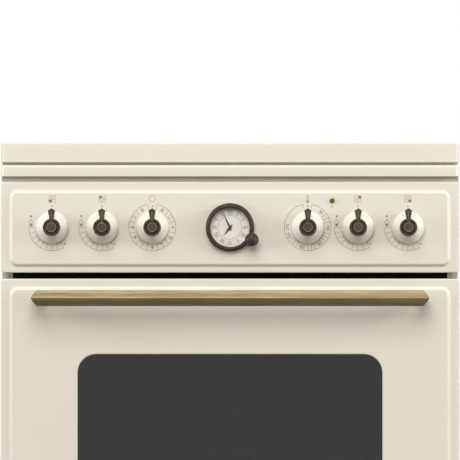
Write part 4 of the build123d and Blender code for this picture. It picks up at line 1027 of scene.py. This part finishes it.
def backScrews():
    shape, backY = screwShape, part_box("back_panel")[1].y
    places = [(side * shape["sideX"], z * mm) for side in (-1, 1) for z in shape["sideZ"]]
    places += [(x * mm, shape["lowZ"]) for x in shape["lowX"]]
    flange, rise, head, tall = (shape[key] for key in ("flange", "flangeRise", "head", "headRise"))
    bm = bmesh.new()
    for x, z in places:
        place = rearward(x, backY, z)
        roundPin(bm, flange, flange - rise, rise, rise * 0.6, place, 24)
        bmesh.ops.create_cone(bm, cap_ends=True, segments=6, radius1=head, radius2=head * 0.9, depth=tall,
                              matrix=place @ level(0, 0, tall / 2 + rise * 0.5))
    newPiece("backScrews", bm, "chassis", "wire_chrome")


pinShape = inMm(stand=8.5, sleeve=2.1, sleeveRise=8.5, sleeveEdge=0.8, wire=0.75, wireRise=13.5, wireSunk=1,
                probe=1.7, probeRise=12)


def burnerPins():
    # a white ceramic sleeve with its wire on one side of each burner, a flame probe on the other
    shape = pinShape
    sleeve, wire, tip, rise = shape["sleeve"], shape["wire"], shape["probe"], shape["sleeveRise"]
    sleeves, wires = bmesh.new(), bmesh.new()
    for name, (x, y) in burnerPlace.items():
        reach = (burnerRadius[name] + shape["stand"]) / math.sqrt(2)
        inward = -1 if x > 0 else 1
        spark = level(x + inward * reach, y - reach, wellFloor)
        probe = level(x + inward * reach, y + reach, wellFloor)
        roundPin(sleeves, sleeve, sleeve * 0.7, rise, shape["sleeveEdge"], spark, 20)
        roundPin(wires, wire, wire * 0.5, shape["wireRise"], wire, spark, 12, rise - shape["wireSunk"])
        roundPin(wires, tip, tip * 0.6, shape["probeRise"], tip, probe, 16)
    newPiece("sparkSleeves", sleeves, "chassis", "white_plastic")
    newPiece("burnerProbes", wires, "chassis", "wire_chrome")


terminalShape = inMm(bodyTall=70, margin=6, corner=5, rise=1.8, round=0.7, screw=3.2, screwRise=1.3, screwX=36)


def terminalLid():
    # the terminal box's screwed-on cover
    shape = terminalShape
    low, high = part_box("terminal_box")
    x, z = (low.x + high.x) / 2, high.z - shape["bodyTall"] / 2
    halfWide, halfTall = (high.x - low.x) / 2 - shape["margin"], shape["bodyTall"] / 2 - shape["margin"]
    bm = bmesh.new()
    plate = roundedFace(bm, halfWide, halfTall, shape["corner"], upright(x, high.y, z))
    drawUp(bm, [plate], (0, shape["rise"], 0))
    faceOut(bm)
    soften(bm, sharpEdges(bm, 60), shape["round"])
    screw, rise = shape["screw"], shape["screwRise"]
    profile = [(0, rise * 0.4), (screw * 0.3, rise * 0.4), (screw * 0.3, rise), (screw * 0.8, rise),
               (screw, rise * 0.5), (screw, 0), (0, 0)]
    for side in (-1, 1):
        spunShell(bm, profile, rearward(x + side * shape["screwX"], high.y + shape["rise"], z), 20)
    newPiece("terminalLid", bm, "chassis", "black_plastic")


spillRing = inMm(gap=13, half=4, rise=1.2, sunk=0.4)


def spillRings():
    # low pressed ring in the tray round each burner
    bm = bmesh.new()
    half, rise, sunk = spillRing["half"], spillRing["rise"], spillRing["sunk"]
    for name, (x, y) in burnerPlace.items():
        profile = mirrored(burnerRadius[name] + spillRing["gap"], [
            (half, -sunk), (half, 0), (half * 0.45, rise * 0.8), (0, rise)])
        spunShell(bm, profile, level(x, y, wellFloor), 72)
    newPiece("spillRings", bm, "chassis", "cream_enamel")


backScrews()
burnerPins()
terminalLid()
spillRings()
print("fittings made")


# Softer edges on plain castings and folded pieces

softEdge = {"panSupports": ("pan_supports", 1.2 * mm), "terminalCover": ("terminal_box", 1.0 * mm)}

for name, (node, width) in softEdge.items():
    bm = bmesh.new()
    bm.from_mesh(nodes[node].data)
    bmesh.ops.remove_doubles(bm, verts=bm.verts[:], dist=1e-6)
    bmesh.ops.dissolve_limit(bm, angle_limit=math.radians(1), verts=bm.verts[:], edges=bm.edges[:])
    soften(bm, sharpEdges(bm, 40), width)
    dressNode(name, bm, node)
print("castings softened")


# Studio: pale floor, soft key from above and a little left, grazing strips at the sides, even fill

studio = {
    "fill": 0.21,
    "lamps": {
        "frontKey": {"at": (-0.4, -3.66, 3.43), "size": (3.2, 3.2), "power": 145},
        "overStrip": {"at": (-0.1, -0.76, 3.3), "size": (2.6, 0.5), "power": 8},
        "leftStrip": {"at": (-2.1, -0.9, 1.15), "size": (1, 1.0), "power": 21},
        "rightStrip": {"at": (2.1, -0.9, 1.15), "size": (1, 1.0), "power": 27},
        "rearTop": {"at": (0.3, 2.7, 1.6), "size": (2.4, 1.8), "power": 27},
    },
    "aim": (0, -0.27, 0.72),
    "floorRadius": 9,
    "floorFade": (1.6, 4.2),
}


def raysOfTheEye(tree):
    # 1 for what the camera sees, directly, in metal or through glass
    rays = tree.nodes.new("ShaderNodeLightPath").outputs
    seen = rays["Is Camera Ray"]
    for more in ("Is Glossy Ray", "Is Transmission Ray"):
        seen = addNode(tree, "Math", {"operation": "MAXIMUM"}, {0: seen, 1: rays[more]})
    return seen


def studioFloor():
    dull = {"Roughness": 0.9, "Specular IOR Level": 0.1}
    material, tree, shader, place = startMaterial("paleFloorPaper", dull)
    grain = addNode(tree, "TexNoise", {"Scale": perMetre(40)}, {"Vector": place}, "Fac")
    tones = {6: linear("#D8D7D4"), 7: linear("#DCDBD8")}
    pale = addNode(tree, "Mix", {"data_type": "RGBA", **tones}, {0: grain}, 2)
    # the eye, metal and glass see pale paper that fades to white far out; less of it is thrown back as light
    seen = raysOfTheEye(tree)
    tone = addNode(tree, "Mix", {"data_type": "RGBA", 6: linear("#72716E")}, {0: seen, 7: pale}, 2)
    connect(shader, {"Base Color": tone})
    reach = addNode(tree, "VectorMath", {"operation": "LENGTH"}, {0: place}, "Value")
    near, far = studio["floorFade"]
    fade = addNode(tree, "MapRange", {"interpolation_type": "SMOOTHSTEP", 1: near, 2: far}, {0: reach})
    share = addNode(tree, "Math", {"operation": "MULTIPLY"}, {0: fade, 1: seen})
    white = addNode(tree, "Emission", {"Color": (1, 1, 1, 1), "Strength": 1.0})
    mixed = addNode(tree, "MixShader", {}, {0: share, 1: shader.outputs[0], 2: white})
    connect(tree.nodes["Material Output"], {"Surface": mixed})
    material.cycles.emission_sampling = "NONE"  # the white is for the eye, no lamp
    bm = bmesh.new()
    bmesh.ops.create_circle(bm, cap_ends=True, radius=studio["floorRadius"], segments=128)
    addMesh("studioFloor", bm, material)


def studioWorld():
    world = bpy.data.worlds.new("studioWorld")
    world.use_nodes = True
    tree = world.node_tree
    tree.nodes.clear()
    fill = addNode(tree, "Background", {"Color": (1, 1, 1, 1), "Strength": studio["fill"]})
    white = addNode(tree, "Background", {"Color": (1, 1, 1, 1), "Strength": 1.0})
    mixed = addNode(tree, "MixShader", {}, {0: raysOfTheEye(tree), 1: fill, 2: white})
    connect(tree.nodes.new("ShaderNodeOutputWorld"), {"Surface": mixed})
    bpy.context.scene.world = world


def studioLamps():
    for name, values in studio["lamps"].items():
        light = bpy.data.lights.new(name, "AREA")
        light.energy = values["power"]
        light.shape = "RECTANGLE"
        light.size, light.size_y = values["size"]
        lamp = addObject(name, light)
        lamp.location = values["at"]
        lamp.rotation_euler = (Vector(studio["aim"]) - lamp.location).to_track_quat("-Z", "Y").to_euler()


view = {"distance": 6.0, "halfWidth": 0.3006, "height": 0.7363}


def photoCamera():
    lens = bpy.data.cameras.new("photoCamera")
    lens.angle = 2 * math.atan(view["halfWidth"] / view["distance"])
    camera = addObject("photoCamera", lens)
    camera.location = (0, frontY - view["distance"], view["height"])
    camera.rotation_euler = (math.radians(90), 0, 0)
    bpy.context.scene.camera = camera


studioFloor()
studioWorld()
studioLamps()
photoCamera()
bpy.context.scene.view_settings.view_transform = "Standard"
print("studio set")
